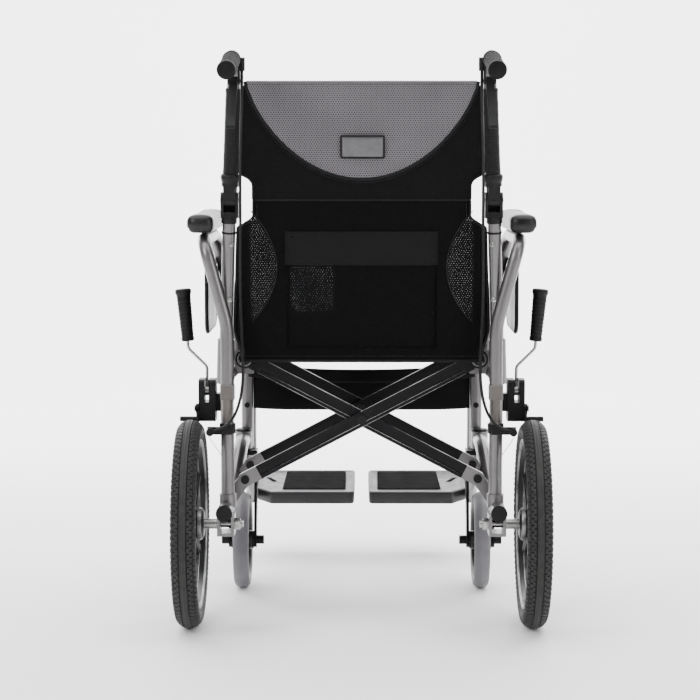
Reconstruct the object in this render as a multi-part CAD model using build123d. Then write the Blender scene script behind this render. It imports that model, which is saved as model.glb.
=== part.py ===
from build123d import *
import math
import os

# A folding transit wheelchair. +Z is up, the chair faces +Y and +X is the occupant's right.
# Millimetres. Every place along Y is counted from the rear axle while the pieces are made, and
# the finished chair is moved so that its origin is on the floor, under the middle of its box.
# Each function makes the right-hand piece, and its left-hand twin is the mirror image.

# ---------------------------------------------------------------- driving dimensions
# wheels
rear_wheel_radius = 174.0
rear_tyre_width = 43.0
rear_tyre_depth = 36.0
rear_wheel_x = 286.0
rear_rim_width = 30.0
rear_rim_depth = 13.0
rear_hub_radius = 24.0
rear_hub_length = 44.0
rear_spoke_count = 6
rear_spoke_width = 20.0
rear_spoke_thickness = 12.0
rear_axle_radius = 6.0
caster_radius = 87.5
caster_tyre_width = 29.0
caster_tyre_depth = 18.0
caster_rim_width = 22.0
caster_rim_depth = 8.0
caster_hub_radius = 16.0
caster_hub_length = 40.0
caster_spoke_count = 5
caster_axle_radius = 4.0
caster_x = 217.0
caster_axle_y = 330.0
caster_trail = 45.0
caster_stem_radius = 6.0
fork_leg_thickness = 5.0
fork_crown_z = 248.0
fork_crown_depth = 8.0
fork_end_radius = 14.0

# side frame
tube_radius = 11.0
tube_wall = 2.2
rail_radius = 12.7
rail_x = 226.0
rail_z = 201.0
rail_rear_y = -56.0
rail_rise_y = 215.0
rail_rise_run = 73.0
rail_front_z = 267.0
rail_bend_radius = 45.0
upper_tube_z = 418.0
hoop_rear_y = 40.0
hoop_bend_radius = 30.0
upright_x = 211.0
upright_y = 395.0
housing_radius = 15.5
housing_bottom_z = 250.0
housing_height = 32.0
post_x = 223.0
post_top_z = 345.0
axle_bracket_width = 28.5
axle_bracket_length = 50.0
axle_bracket_wall = 5.0
axle_bracket_drop = 17.5

# scissor brace and seat
pivot_x = 197.0
pivot_z = 241.0
seat_rail_z = 446.0
seat_rail_radius = 12.7
seat_rail_rear_y = 46.5
seat_rail_front_y = 440.0
arm_rear_y = 54.0
arm_pitch = 170.0
arm_stack = 12.0
arm_width = 24.0
arm_thickness = 10.0
arm_groove_width = 13.0
arm_groove_depth = 3.5
arm_fitting_length = 26.0
pivot_bolt_radius = 5.0
cross_bolt_radius = 6.0
saddle_ys = (110.0, 330.0)
saddle_length = 24.0
fabric_thickness = 3.0

# back
back_lean = 8.0
cane_base_z = 436.0
cane_base_x = 228.8
hinge_x = 218.0
hinge_y = 5.0
hinge_z = 714.0
hinge_cheek_gap = 19.6
hinge_cheek_thickness = 5.0
hinge_radius = 13.0
hinge_pin_radius = 4.0
hinge_body_bottom_z = 684.0
hinge_body_height = 10.0
hinge_collar_bottom_z = 676.0
upper_cane_start = 16.0
knob_bottom_z = 737.0
knob_top_z = 755.0
knob_radius = 14.5
handle_corner_x = 206.5
handle_corner_z = 952.0
handle_bend_radius = 50.0
grip_end = (210.0, -200.0, 918.0)
grip_radius = 14.5
grip_length = 104.0
grip_end_wall = 4.0
back_top_z = 908.0
back_bottom_z = 442.0
cutout_half_width = 181.0
cutout_bottom_z = 678.0
cutout_top_z = 745.0
pocket_half_width = 124.0
pocket_bottom_z = 466.0
pocket_top_z = 656.0
pocket_thickness = 8.0

# attendant brake
lever_pivot_y = -86.0
lever_pivot_z = 906.0
lever_x = 205.0
lever_tip_y = -168.0
lever_tip_z = 832.0
lever_width = 13.0
lever_thickness = 6.0
lever_eye_radius = 7.0
clamp_length = 13.0
clamp_wall = 2.6
cable_radius = 2.5
cable_route = [
    (192.0, -84.0, 922.0), (192.5, -78.0, 880.0), (195.0, -60.0, 830.0), (198.0, -38.0, 781.0),
    (199.0, -24.0, 729.0), (199.6, -12.0, 676.0), (200.6, -5.0, 622.0), (201.4, 4.0, 568.0),
    (200.4, 10.0, 514.0), (198.0, 9.0, 464.0), (197.0, 2.0, 418.0), (201.0, -9.0, 382.0),
    (212.0, -18.0, 353.0), (230.0, -20.5, 336.0), (251.0, -20.5, 331.0),
]

# armrest
armrest_x = 262.0
armrest_top_z = 648.0
armrest_length = 280.0
armrest_sweep_z = 505.0
armrest_sweep_radius = 150.0
armrest_corner_radius = 35.0
collar_width = 22.7
collar_bottom_z = 383.0
collar_top_z = 408.0
spigot_top_z = 476.0
front_socket_top_z = 441.0
spigot_clearance = 0.1
pad_width = 45.0
pad_thickness = 34.0
pad_length = 286.0
pad_inner_x = 244.5
pad_corner_radius = 9.0
guard_x = 264.0
guard_thickness = 5.0
guard_rear_y = 100.0
guard_front_y = 304.0
guard_bottom_z = 486.0
guard_top_z = 602.0
guard_corner_radius = 22.0
guard_stud_radius = 5.0

# parking brake
brake_y = 107.0
housing_inner_x = 249.0
housing_outer_x = 278.0
housing_depth = 46.0
brake_housing_bottom_z = 335.0
brake_housing_top_z = 407.0
brake_pivot_z = 386.0
brake_slot_inner_x = 260.5
brake_slot_width = 8.0
brake_slot_bottom_z = 368.0
brake_pin_radius = 3.0
lever_rod_radius = 2.65
lever_rod_x = 264.5
lever_grip_x = 297.0
lever_grip_lean = 8.0
lever_grip_bottom_z = 473.0
lever_grip_top_z = 560.0
lever_grip_bottom_radius = 9.5
lever_grip_top_radius = 12.0
bar_pivot_y = 88.0
bar_pivot_z = 358.0
bar_y = 110.0
bar_z = 337.0
bar_radius = 4.5
bar_end_x = 312.0
bar_arm_thickness = 4.0

# footrest
hanger_x = 207.0
hanger_y = 420.0
hanger_top_z = 424.0
hanger_corner_z = 234.0
hanger_bend_radius = 70.0
hanger_ring_zs = (328.0, 399.0)
hanger_ring_height = 12.0
hanger_ring_radius = 15.0
plate_tilt = 8.0
plate_hinge_x = 214.0
plate_rear_y = 590.0
plate_centre_z = 125.0
plate_length = 151.0
plate_inner_x = 12.0
plate_thickness = 20.0
plate_pin_radius = 5.0
plate_notch_length = 24.0
plate_notch_x = 189.0
plate_corner_radius = 8.0
hanger_lug_radius = 12.0
hanger_lug_length = 22.0
strap_bottom_z = 319.0
strap_top_z = 389.0

# fits
running = 0.06
soft_gap = 0.3
side_gap = 0.5

# ---------------------------------------------------------------- worked-out places
stem_y = caster_axle_y + caster_trail
lean = math.tan(math.radians(back_lean))
arm_rise = (seat_rail_z - pivot_z) / 2
arm_angle = math.degrees(math.atan2(arm_rise, pivot_x))
arm_length = 2 * math.hypot(pivot_x, arm_rise)
cross_z = pivot_z + arm_rise
cane_slope_x = (cane_base_x - hinge_x) / (hinge_z - cane_base_z)
tyre_seat_radius = rear_wheel_radius - rear_tyre_depth
caster_seat_radius = caster_radius - caster_tyre_depth
fork_inner = caster_hub_length / 2 + side_gap
fork_outer = fork_inner + fork_leg_thickness
spigot_radius = tube_radius - tube_wall - spigot_clearance
plate_frame = Plane(origin=(0, plate_rear_y, plate_centre_z), x_dir=(1, 0, 0),
                    z_dir=(0, math.cos(math.radians(plate_tilt)), math.sin(math.radians(plate_tilt))))
bend_corner = (handle_corner_x, hinge_y - (handle_corner_z - hinge_z) * lean, handle_corner_z)


def cane_point(z):
    """Centre of the lower back cane at a height, or of its straight line above the hinge."""
    return (hinge_x + (hinge_z - z) * cane_slope_x, hinge_y + (hinge_z - z) * lean, z)


def upper_cane_x(z):
    """Centre of the upper cane across the chair, between the hinge and the handle's bend."""
    return hinge_x + (bend_corner[0] - hinge_x) * (z - hinge_z) / (bend_corner[2] - hinge_z)


# ---------------------------------------------------------------- shape helpers
def rod(start, end, radius):
    """A round bar from one point to another."""
    run = Vector(*end) - Vector(*start)
    return extrude(Plane(origin=start, z_dir=run) * Circle(radius), amount=run.length)


def cross_rod(x0, x1, y, z, radius):
    """A round bar along X."""
    return rod((x0, y, z), (x1, y, z), radius)


def block(x0, x1, y0, y1, z0, z1):
    """A box between two corners."""
    centre = Pos((x0 + x1) / 2, (y0 + y1) / 2, (z0 + z1) / 2)
    return centre * Box(abs(x1 - x0), abs(y1 - y0), abs(z1 - z0))


def bent_bar(points, bends, radius):
    """A round bar along straight runs joined by tangent arcs."""
    path = FilletPolyline(*points, radius=bends)
    return sweep(Plane(origin=path @ 0, z_dir=path % 0) * Circle(radius), path=path)


def bent_tube(points, bends, radius, wall):
    """A hollow tube along straight runs joined by tangent arcs."""
    return bent_bar(points, bends, radius) - bent_bar(points, bends, radius - wall)


def side_plate(outline, x0, x1):
    """A flat plate, square to X, from an outline of (y, z) points."""
    face = make_face(Polyline(*[(x0, y, z) for y, z in outline], close=True))
    return extrude(face, amount=x1 - x0, dir=(1, 0, 0))


def lobe(y0, z0, r0, y1, z1, r1, x0, x1):
    """A flat link, square to X, that tapers between two round ends."""
    ends = (Pos(y0, z0) * Circle(r0)).edges() + (Pos(y1, z1) * Circle(r1)).edges()
    return Pos(x0, 0, 0) * (Plane.YZ * extrude(make_hull(ends), amount=x1 - x0))


def tyre(width, depth, radius, x_centre, y, z):
    """A tyre of oval section that is flat where it seats on its rim."""
    seat = radius - depth
    oval = Pos(0, radius - depth * 0.52) * Ellipse(width / 2, depth * 0.52)
    section = oval & (Pos(0, seat + depth) * Rectangle(width * 2, depth * 2))
    return Pos(x_centre, y, z) * revolve(section, axis=Axis.X)


def spoked_wheel(seat, rim_width, rim_depth, hub_radius, hub_length, bore, count, spoke_width,
                 spoke_thickness, x_centre, y, z):
    """A moulded wheel: rim, spokes and hub in one piece, with a bore for its axle."""
    rim = revolve(make_face(Polyline(
        (-rim_width / 2, seat), (rim_width / 2, seat), (rim_width / 2, seat - rim_depth * 0.4),
        (spoke_thickness / 2, seat - rim_depth), (-spoke_thickness / 2, seat - rim_depth),
        (-rim_width / 2, seat - rim_depth * 0.4), close=True)), axis=Axis.X)
    wheel = rim + cross_rod(-hub_length / 2, hub_length / 2, 0, 0, hub_radius)
    spoke = block(-spoke_thickness / 2, spoke_thickness / 2, -spoke_width / 2, spoke_width / 2,
                  hub_radius * 0.6, seat - rim_depth * 0.6)
    for number in range(count):
        wheel = wheel + Rot(360 * number / count, 0, 0) * spoke
    wheel = wheel - cross_rod(-hub_length, hub_length, 0, 0, bore)
    return Pos(x_centre, y, z) * wheel


# ---------------------------------------------------------------- side frame
def frame_bars(inset):
    """The side frame's welded tubes, drawn smaller by an inset so that they can be hollowed."""
    rail = bent_bar(
        [(rail_x, rail_rear_y, rail_z), (rail_x, rail_rise_y, rail_z),
         (caster_x, rail_rise_y + rail_rise_run, rail_front_z), (caster_x, stem_y, rail_front_z)],
        [rail_bend_radius, rail_bend_radius], rail_radius - inset)
    hoop = bent_bar(
        [(upright_x, upright_y, housing_bottom_z + 2), (upright_x, upright_y, upper_tube_z),
         (rail_x, hoop_rear_y, upper_tube_z), (rail_x, hoop_rear_y, rail_z)],
        [hoop_bend_radius, hoop_bend_radius], tube_radius - inset)
    post = rod((post_x, 0, rail_z), (post_x, 0, post_top_z - inset), tube_radius - inset)
    return rail + hoop + post


def pivot_ear(ear_y):
    """A lug from the lower rail to one pivot of the scissor brace."""
    span = math.hypot(rail_x - pivot_x, pivot_z - rail_z)
    turn = math.degrees(math.atan2(rail_z - pivot_z, rail_x - pivot_x))
    middle = ((pivot_x + rail_x) / 2, ear_y, (pivot_z + rail_z) / 2)
    slot = Plane(origin=middle, x_dir=(1, 0, 0), z_dir=(0, -1, 0)) * Rot(0, 0, turn)
    ear = extrude(slot * SlotCenterToCenter(span, rail_radius * 1.7), amount=2.5, both=True)
    return ear - rod((pivot_x, ear_y - 5, pivot_z), (pivot_x, ear_y + 5, pivot_z), pivot_bolt_radius)


def saddle(y):
    """A cradle that the seat rail drops into when the chair is open."""
    body = block(pivot_x - 12, upright_x + 6, y - saddle_length / 2, y + saddle_length / 2,
                 upper_tube_z - 2, seat_rail_z - 4)
    cradle = rod((pivot_x, y - saddle_length, seat_rail_z), (pivot_x, y + saddle_length, seat_rail_z),
                 seat_rail_radius + soft_gap)
    return body - cradle


def hanger_ring(z):
    """A bush on the front upright that the footrest hanger turns in."""
    ring = rod((hanger_x, hanger_y, z), (hanger_x, hanger_y, z + hanger_ring_height), hanger_ring_radius)
    web = block(hanger_x - 6.5, hanger_x + 9, upright_y, hanger_y, z, z + hanger_ring_height)
    bore = rod((hanger_x, hanger_y, z - 1), (hanger_x, hanger_y, z + hanger_ring_height + 1),
               tube_radius + running)
    return ring + web - bore


def ear_ys(side):
    """Places of the two pivot lugs on a side: each arm of a pair lies on its own side of the stack."""
    first = arm_rear_y + (arm_stack if side > 0 else 0)
    return [first + arm_thickness / 2 + side_gap + 2.5 + pitch for pitch in (0, arm_pitch)]


def side_frame(side):
    """One welded side: tubes, caster housing, axle bracket, lugs, saddles, spigots and bushes."""
    frame = frame_bars(0) - frame_bars(tube_wall)
    housing = rod((caster_x, stem_y, housing_bottom_z),
                  (caster_x, stem_y, housing_bottom_z + housing_height), housing_radius)
    stem_bore = rod((caster_x, stem_y, housing_bottom_z - 1),
                    (caster_x, stem_y, housing_bottom_z + housing_height + 1),
                    caster_stem_radius + running)
    frame = frame + (housing - stem_bore)
    frame = frame - stem_bore
    half = axle_bracket_width / 2
    bottom = rear_wheel_radius - axle_bracket_drop
    bracket = block(rail_x - half, rail_x + half, -axle_bracket_length / 2, axle_bracket_length / 2,
                    bottom, rail_z - rail_radius + 3)
    bracket = bracket - block(rail_x - half + axle_bracket_wall, rail_x + half - axle_bracket_wall,
                              -axle_bracket_length, axle_bracket_length, bottom + axle_bracket_wall,
                              rail_z - rail_radius - 2)
    bracket = bracket - cross_rod(rail_x - 2 * half, rail_x + 2 * half, 0, rear_wheel_radius,
                                  rear_axle_radius)
    frame = frame + (bracket - rod((rail_x, -99, rail_z), (rail_x, 99, rail_z), rail_radius - 0.5))
    lug = rod((post_x, 0, rail_z + 2), (post_x, 0, rail_z + 24), tube_radius + 3)
    frame = frame + (lug - rod((rail_x, -99, rail_z), (rail_x, 99, rail_z), rail_radius - tube_wall))
    tie = block(post_x - 4, post_x + 4, tube_radius - 1, hoop_rear_y - tube_radius + 1,
                post_top_z - 22, post_top_z - 4)
    frame = frame + tie
    rear_spigot = rod((post_x, 0, post_top_z - 30), (post_x, 0, spigot_top_z), spigot_radius)
    front_spigot = rod((post_x, armrest_length, upper_tube_z), (post_x, armrest_length, spigot_top_z + 10),
                       spigot_radius)
    foot = block(upright_x, post_x + tube_radius, armrest_length - 11, armrest_length + 11,
                 upper_tube_z - 8, front_socket_top_z - side_gap)
    frame = frame + rear_spigot + front_spigot + foot
    for y in ear_ys(side):
        frame = frame + (pivot_ear(y) - rod((rail_x, y - 9, rail_z), (rail_x, y + 9, rail_z),
                                            rail_radius - 1))
    for y in saddle_ys:
        frame = frame + saddle(y)
    for z in hanger_ring_zs:
        frame = frame + (hanger_ring(z) - rod((upright_x, upright_y, z - 9), (upright_x, upright_y, z + 30),
                                              tube_radius - 1))
    low, high = cane_point(cane_base_z - 30), cane_point(cane_base_z + 44)
    socket = rod(low, high, tube_radius + 3.5) - rod(cane_point(cane_base_z), cane_point(cane_base_z + 99),
                                                     tube_radius)
    return frame + socket


def frame_fittings(side):
    """Black plugs and bolts on one side: rail plug, caster dome, pivot bolts and cable bracket."""
    plug = rod((rail_x, rail_rear_y - 7, rail_z), (rail_x, rail_rear_y, rail_z), rail_radius + 0.9)
    plug = plug + rod((rail_x, rail_rear_y, rail_z), (rail_x, rail_rear_y + 14, rail_z),
                      rail_radius - tube_wall)
    top = housing_bottom_z + housing_height
    dome = rod((caster_x, stem_y, top), (caster_x, stem_y, top + 5), housing_radius)
    dome = fillet(dome.faces().sort_by(Axis.Z)[-1].edges(), 4)
    dome = dome - rod((upright_x, upright_y, top - 1), (upright_x, upright_y, top + 9), tube_radius)
    pieces = [plug, dome]
    for y in ear_ys(side):
        shank_start = y - 2.5 - side_gap - arm_thickness - side_gap
        bolt = rod((pivot_x, shank_start, pivot_z), (pivot_x, y + 2.5, pivot_z), pivot_bolt_radius)
        bolt = bolt + rod((pivot_x, shank_start - 5, pivot_z), (pivot_x, shank_start, pivot_z), 7)
        bolt = bolt + rod((pivot_x, y + 2.5, pivot_z), (pivot_x, y + 8, pivot_z), 7.5)
        pieces.append(bolt)
    upright_bolt = rod((upright_x, upright_y - tube_radius - 3, 329),
                       (upright_x, upright_y - tube_radius + 2, 329), 5)
    pieces.append(upright_bolt - rod((upright_x, upright_y, 300), (upright_x, upright_y, 360), tube_radius))
    band = rod((post_x, 0, post_top_z - 18), (post_x, 0, post_top_z - 2), tube_radius + 2.5)
    band = band - rod((post_x, 0, post_top_z - 60), (post_x, 0, post_top_z + 20), tube_radius)
    band = band - block(post_x - 4.1, post_x + 4.1, 0, 40, post_top_z - 22.1, post_top_z)
    arm = block(post_x - 8, post_x + 33, -tube_radius - 5.5, -tube_radius - 2,
                post_top_z - 19, post_top_z - 6)
    stop = rod((post_x + 28, -tube_radius - 16, 331), (post_x + 28, -tube_radius - 2, 331), 6.5)
    pieces.append(band + arm)
    pieces[-1] = pieces[-1] + (stop - rod(cable_route[-2], cable_route[-1], cable_radius))
    return pieces


def rear_axle():
    """Axle bolt with its head, its spacer against the bracket and its nut inside."""
    inner, outer = rail_x - axle_bracket_width / 2, rail_x + axle_bracket_width / 2
    hub_inner = rear_wheel_x - rear_hub_length / 2
    hub_outer = rear_wheel_x + rear_hub_length / 2
    z = rear_wheel_radius
    axle = cross_rod(inner - 14, hub_outer + side_gap, 0, z, rear_axle_radius)
    axle = axle + cross_rod(outer, hub_inner - side_gap, 0, z, 8.5)
    axle = axle + cross_rod(hub_outer + side_gap, hub_outer + side_gap + 3, 0, z, 10)
    nut = Plane(origin=(inner - 9, 0, z), z_dir=(1, 0, 0)) * RegularPolygon(10, 6)
    return axle + extrude(nut, amount=9)


def rear_tyre():
    """Pneumatic tyre of a rear wheel."""
    return tyre(rear_tyre_width, rear_tyre_depth, rear_wheel_radius, rear_wheel_x, 0, rear_wheel_radius)


def rear_wheel():
    """Moulded rear wheel, bored for its axle."""
    return spoked_wheel(tyre_seat_radius, rear_rim_width, rear_rim_depth, rear_hub_radius, rear_hub_length,
                        rear_axle_radius + running, rear_spoke_count, rear_spoke_width,
                        rear_spoke_thickness, rear_wheel_x, 0, rear_wheel_radius)


# ---------------------------------------------------------------- casters
def caster_fork():
    """Swivelling fork: stem, crown and two long legs down to the axle."""
    crown = block(caster_x - fork_outer, caster_x + fork_outer, stem_y - 22, stem_y + 18,
                  fork_crown_z - fork_crown_depth, fork_crown_z)
    legs = []
    outline = [(stem_y - 22, fork_crown_z), (stem_y + 18, fork_crown_z),
               (caster_axle_y + fork_end_radius, caster_radius),
               (caster_axle_y - fork_end_radius, caster_radius)]
    for x0 in (caster_x - fork_outer, caster_x + fork_inner):
        leg = side_plate(outline, x0, x0 + fork_leg_thickness)
        leg = leg + cross_rod(x0, x0 + fork_leg_thickness, caster_axle_y, caster_radius, fork_end_radius)
        leg = leg - cross_rod(x0 - 1, x0 + fork_leg_thickness + 1, caster_axle_y, caster_radius,
                              caster_axle_radius)
        legs.append(leg)
    boss = rod((caster_x, stem_y, fork_crown_z), (caster_x, stem_y, housing_bottom_z - soft_gap), 12)
    stem = rod((caster_x, stem_y, fork_crown_z), (caster_x, stem_y, housing_bottom_z + housing_height - 1),
               caster_stem_radius)
    return crown + legs[0] + legs[1] + boss + stem


def caster_axle():
    """Caster axle bolt with a round cap on each end."""
    bolt = cross_rod(caster_x - fork_outer, caster_x + fork_outer, caster_axle_y, caster_radius,
                     caster_axle_radius)
    for end in (-1, 1):
        face = caster_x + end * fork_outer
        cap = cross_rod(face, face + end * 13, caster_axle_y, caster_radius, 8)
        bolt = bolt + cap
    return bolt


def caster_tyre():
    """Solid tyre of a caster."""
    return tyre(caster_tyre_width, caster_tyre_depth, caster_radius, caster_x, caster_axle_y, caster_radius)


def caster_wheel():
    """Moulded caster wheel, bored for its axle."""
    return spoked_wheel(caster_seat_radius, caster_rim_width, caster_rim_depth, caster_hub_radius,
                        caster_hub_length, caster_axle_radius + running, caster_spoke_count, 14, 8,
                        caster_x, caster_axle_y, caster_radius)


# ---------------------------------------------------------------- scissor brace and seat
def brace_arm(y):
    """One channel arm along +X, from its lower end fitting to the seat rail it is welded to."""
    start = arm_fitting_length
    finish = arm_length - seat_rail_radius
    channel = block(start, finish, y - arm_thickness / 2, y + arm_thickness / 2,
                    -arm_width / 2, arm_width / 2)
    for face in (-1, 1):
        groove = block(start - 1, finish - 22, y + face * arm_thickness / 2,
                       y + face * (arm_thickness / 2 - arm_groove_depth), -arm_groove_width / 2,
                       arm_groove_width / 2)
        middle = block(arm_length / 2 - 20, arm_length / 2 + 20, y - arm_thickness, y + arm_thickness,
                       -arm_width, arm_width)
        channel = channel - (groove - middle)
    return channel


def place_arm(shape, side):
    """Stands a shape drawn along +X from the lower pivot on its slope, from the right or the left."""
    leaning = Rot(0, -arm_angle, 0) * shape
    placed = Pos(-pivot_x, 0, pivot_z) * leaning
    return placed if side < 0 else placed.mirror(Plane.YZ)


def brace_arms(side):
    """The two channels of one brace, each with a hole for the bolt where the pairs cross."""
    arms = []
    offset = 0 if side < 0 else arm_stack
    bolt = cross_bolt_radius + (0 if side < 0 else running)
    for pitch in (0, arm_pitch):
        y = arm_rear_y + offset + pitch
        channel = brace_arm(y)
        hole = rod((arm_length / 2, y - 20, 0), (arm_length / 2, y + 20, 0), bolt)
        rail = rod((arm_length, y - 20, 0), (arm_length, y + 20, 0), seat_rail_radius)
        arms.append(place_arm(channel - hole - rail, side))
    return arms


def seat_rail(side):
    """A seat rail, which the brace on the other side carries, with that brace's lower end fittings."""
    x = -side * pivot_x
    length = (seat_rail_rear_y, seat_rail_front_y)
    rail = rod((x, length[0], seat_rail_z), (x, length[1], seat_rail_z), seat_rail_radius)
    rail = rail - rod((x, length[0] - 1, seat_rail_z), (x, length[1] + 1, seat_rail_z),
                      seat_rail_radius - tube_wall)
    pieces = [rail]
    offset = 0 if side < 0 else arm_stack
    for pitch in (0, arm_pitch):
        y = arm_rear_y + offset + pitch
        low, high = y - arm_thickness / 2, y + arm_thickness / 2
        fitting = block(0, arm_fitting_length, low, high, -arm_width / 2, arm_width / 2)
        fitting = fitting + rod((0, low, 0), (0, high, 0), arm_width / 2)
        fitting = fitting - rod((0, low - 1, 0), (0, high + 1, 0), pivot_bolt_radius + running)
        pieces.append(place_arm(fitting, side))
    return pieces


def brace_bolts():
    """Bolts where the arms cross, with a washer between them."""
    bolts = []
    for pitch in (0, arm_pitch):
        rear = arm_rear_y - arm_thickness / 2 + pitch
        front = rear + arm_thickness + arm_stack
        bolt = rod((0, rear - 1.5, cross_z), (0, front + 1.5, cross_z), cross_bolt_radius)
        bolt = bolt + rod((0, rear - 5, cross_z), (0, rear, cross_z), 8)
        bolt = bolt + rod((0, rear + arm_thickness, cross_z),
                          (0, front - arm_thickness - side_gap, cross_z), 9)
        bolt = bolt + rod((0, front + side_gap, cross_z), (0, front + 5, cross_z), 8)
        bolts.append(bolt)
    return bolts


def seat_sling():
    """The seat's fabric, lying on both rails."""
    low = seat_rail_z + seat_rail_radius + soft_gap
    return block(-pivot_x - 10, pivot_x + 10, seat_rail_rear_y + 1, seat_rail_front_y - 2, low,
                 low + fabric_thickness)


# ---------------------------------------------------------------- back
def lower_cane():
    """The back's lower cane, from its socket on the side frame to the hinge."""
    start, end = cane_point(cane_base_z), cane_point(hinge_body_bottom_z + hinge_body_height)
    return rod(start, end, tube_radius) - rod(start, end, tube_radius - tube_wall)


def back_hinge():
    """The hinge's lower body: a collar on the cane, two cheeks and the pin through them."""
    half_gap = hinge_cheek_gap / 2
    outer = half_gap + hinge_cheek_thickness
    base = cane_point(hinge_body_bottom_z)
    body = block(hinge_x - outer, hinge_x + outer, base[1] - hinge_radius, base[1] + hinge_radius,
                 hinge_body_bottom_z, hinge_body_bottom_z + hinge_body_height)
    body = body + rod(cane_point(hinge_collar_bottom_z), cane_point(hinge_body_bottom_z + 1),
                      tube_radius + 2.2)
    bore = rod(cane_point(hinge_collar_bottom_z - 9), cane_point(hinge_body_bottom_z + hinge_body_height),
               tube_radius)
    for x0 in (hinge_x - outer, hinge_x + half_gap):
        cheek = side_plate([(base[1] - hinge_radius, hinge_body_bottom_z + 1),
                            (base[1] + hinge_radius, hinge_body_bottom_z + 1),
                            (hinge_y + hinge_radius, hinge_z), (hinge_y - hinge_radius, hinge_z)],
                           x0, x0 + hinge_cheek_thickness)
        body = body + cheek + cross_rod(x0, x0 + hinge_cheek_thickness, hinge_y, hinge_z, hinge_radius)
    pin = cross_rod(hinge_x - outer - 1, hinge_x + outer + 1, hinge_y, hinge_z, hinge_pin_radius)
    return body - bore + pin


def upper_line(z):
    """Centre of the upper cane at a height between the hinge and the handle's bend."""
    return (upper_cane_x(z), hinge_y - (z - hinge_z) * lean, z)


def hinge_knob():
    """The hinge's upper half: a tongue between the cheeks and the flared locking sleeve above it."""
    half = hinge_cheek_gap / 2 - running * 2
    radius = hinge_radius - 1
    top = upper_line(knob_bottom_z + 3)
    tongue = side_plate([(hinge_y - radius, hinge_z), (hinge_y + radius, hinge_z),
                         (top[1] + radius, top[2]), (top[1] - radius, top[2])],
                        hinge_x - half, hinge_x + half)
    tongue = tongue + cross_rod(hinge_x - half, hinge_x + half, hinge_y, hinge_z, radius)
    tongue = tongue - cross_rod(hinge_x - 40, hinge_x + 40, hinge_y, hinge_z, hinge_pin_radius + running)
    sleeve = rod(upper_line(knob_bottom_z), upper_line(knob_top_z), knob_radius)
    bore = rod(upper_line(hinge_z + upper_cane_start), upper_line(knob_top_z + 20), tube_radius)
    return tongue + sleeve - bore


def upper_cane():
    """The push handle's tube, from the hinge up and over to the grip."""
    end = handle_point(grip_end[1] + grip_end_wall * 2)
    return bent_tube([upper_line(hinge_z + upper_cane_start), bend_corner, end], [handle_bend_radius],
                     tube_radius, tube_wall)


def handle_point(y):
    """Centre of the handle's straight end at a place along the chair."""
    share = (y - bend_corner[1]) / (grip_end[1] - bend_corner[1])
    return tuple(a + (b - a) * share for a, b in zip(bend_corner, grip_end))


def hand_grip():
    """Rubber grip, closed at its end."""
    start = handle_point(grip_end[1] + grip_length)
    grip = rod(start, grip_end, grip_radius)
    return grip - rod(start, handle_point(grip_end[1] + grip_end_wall * 2), tube_radius)


def lever_clamp():
    """The attendant brake's clamp on the handle: band, two ears, cable stop and its pin."""
    start = handle_point(lever_pivot_y + clamp_length / 2)
    finish = handle_point(lever_pivot_y - clamp_length / 2)
    band = rod(start, finish, tube_radius + clamp_wall)
    centre = handle_point(lever_pivot_y)
    x_in, x_out = lever_x - lever_width / 2, lever_x + lever_width / 2
    for x0 in (x_in - side_gap - 3, x_out + side_gap):
        ear = lobe(lever_pivot_y, lever_pivot_z, lever_eye_radius - 1, lever_pivot_y, centre[2] - 8, 5,
                   x0, x0 + 3)
        band = band + ear
    band = band + cross_rod(x_in - 4, x_out + 4, lever_pivot_y, lever_pivot_z, 2.5)
    run = Vector(*cable_route[0]) - Vector(*cable_route[1])
    stop = rod(cable_route[0], tuple(Vector(*cable_route[0]) + run * 0.5), 5)
    band = band + stop + block(191, x_in, -89, -81, centre[2] - 8, centre[2])
    return band - rod(handle_point(-60), handle_point(-110), tube_radius)


def brake_lever():
    """Attendant brake lever: an eye on its pin and a flat blade that hangs below the grip."""
    x_in, x_out = lever_x - lever_width / 2, lever_x + lever_width / 2
    blade = lobe(lever_pivot_y, lever_pivot_z, lever_thickness / 2 + 1, lever_tip_y, lever_tip_z,
                 lever_thickness / 2, x_in, x_out)
    blade = blade + cross_rod(x_in, x_out, lever_pivot_y, lever_pivot_z, lever_eye_radius)
    return blade - cross_rod(x_in - 1, x_out + 1, lever_pivot_y, lever_pivot_z, 2.5 + running)


def cable_bends(points):
    """The arc at each corner of a cable's route: as large as its two runs allow."""
    radii = []
    for before, here, after in zip(points, points[1:], points[2:]):
        arrive, leave = Vector(*here) - Vector(*before), Vector(*after) - Vector(*here)
        half_turn = math.radians(arrive.get_angle(leave)) / 2
        radii.append(0.45 * min(arrive.length, leave.length) / math.tan(half_turn))
    return radii


def brake_cable():
    """Sheathed brake cable, from the lever's clamp down the cane to its stop on the rear post."""
    radii = cable_bends(cable_route)
    print("brake cable bend radii, mm:", [round(r) for r in radii])
    path = FilletPolyline(*cable_route, radius=radii)
    cable = sweep(Plane(origin=path @ 0, z_dir=path % 0) * Circle(cable_radius), path=path)
    print("brake cable length, mm:", round(path.length), "volume over section:",
          round(cable.volume / (math.pi * cable_radius**2)))
    return cable


def panel_slab(outline, near, far):
    """A flat soft panel in the plane of the canes, from (x, z) corners and two depths behind it."""
    points = [Vector(x, hinge_y + (hinge_z - z) * lean - near, z) for x, z in outline]
    face = make_face(Polyline(*points, close=True))
    return extrude(face, amount=far - near, dir=(0, -1, 0))


def symmetric(right_points):
    """An outline across the chair from the points of its right-hand half."""
    return right_points + [(-x, z) for x, z in reversed(right_points)]


def cane_edge(z):
    """The inner edge that a panel may reach beside the cane at a height."""
    centre = cane_point(z)[0] if z < hinge_z else upper_cane_x(z)
    return centre - tube_radius - soft_gap


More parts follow.
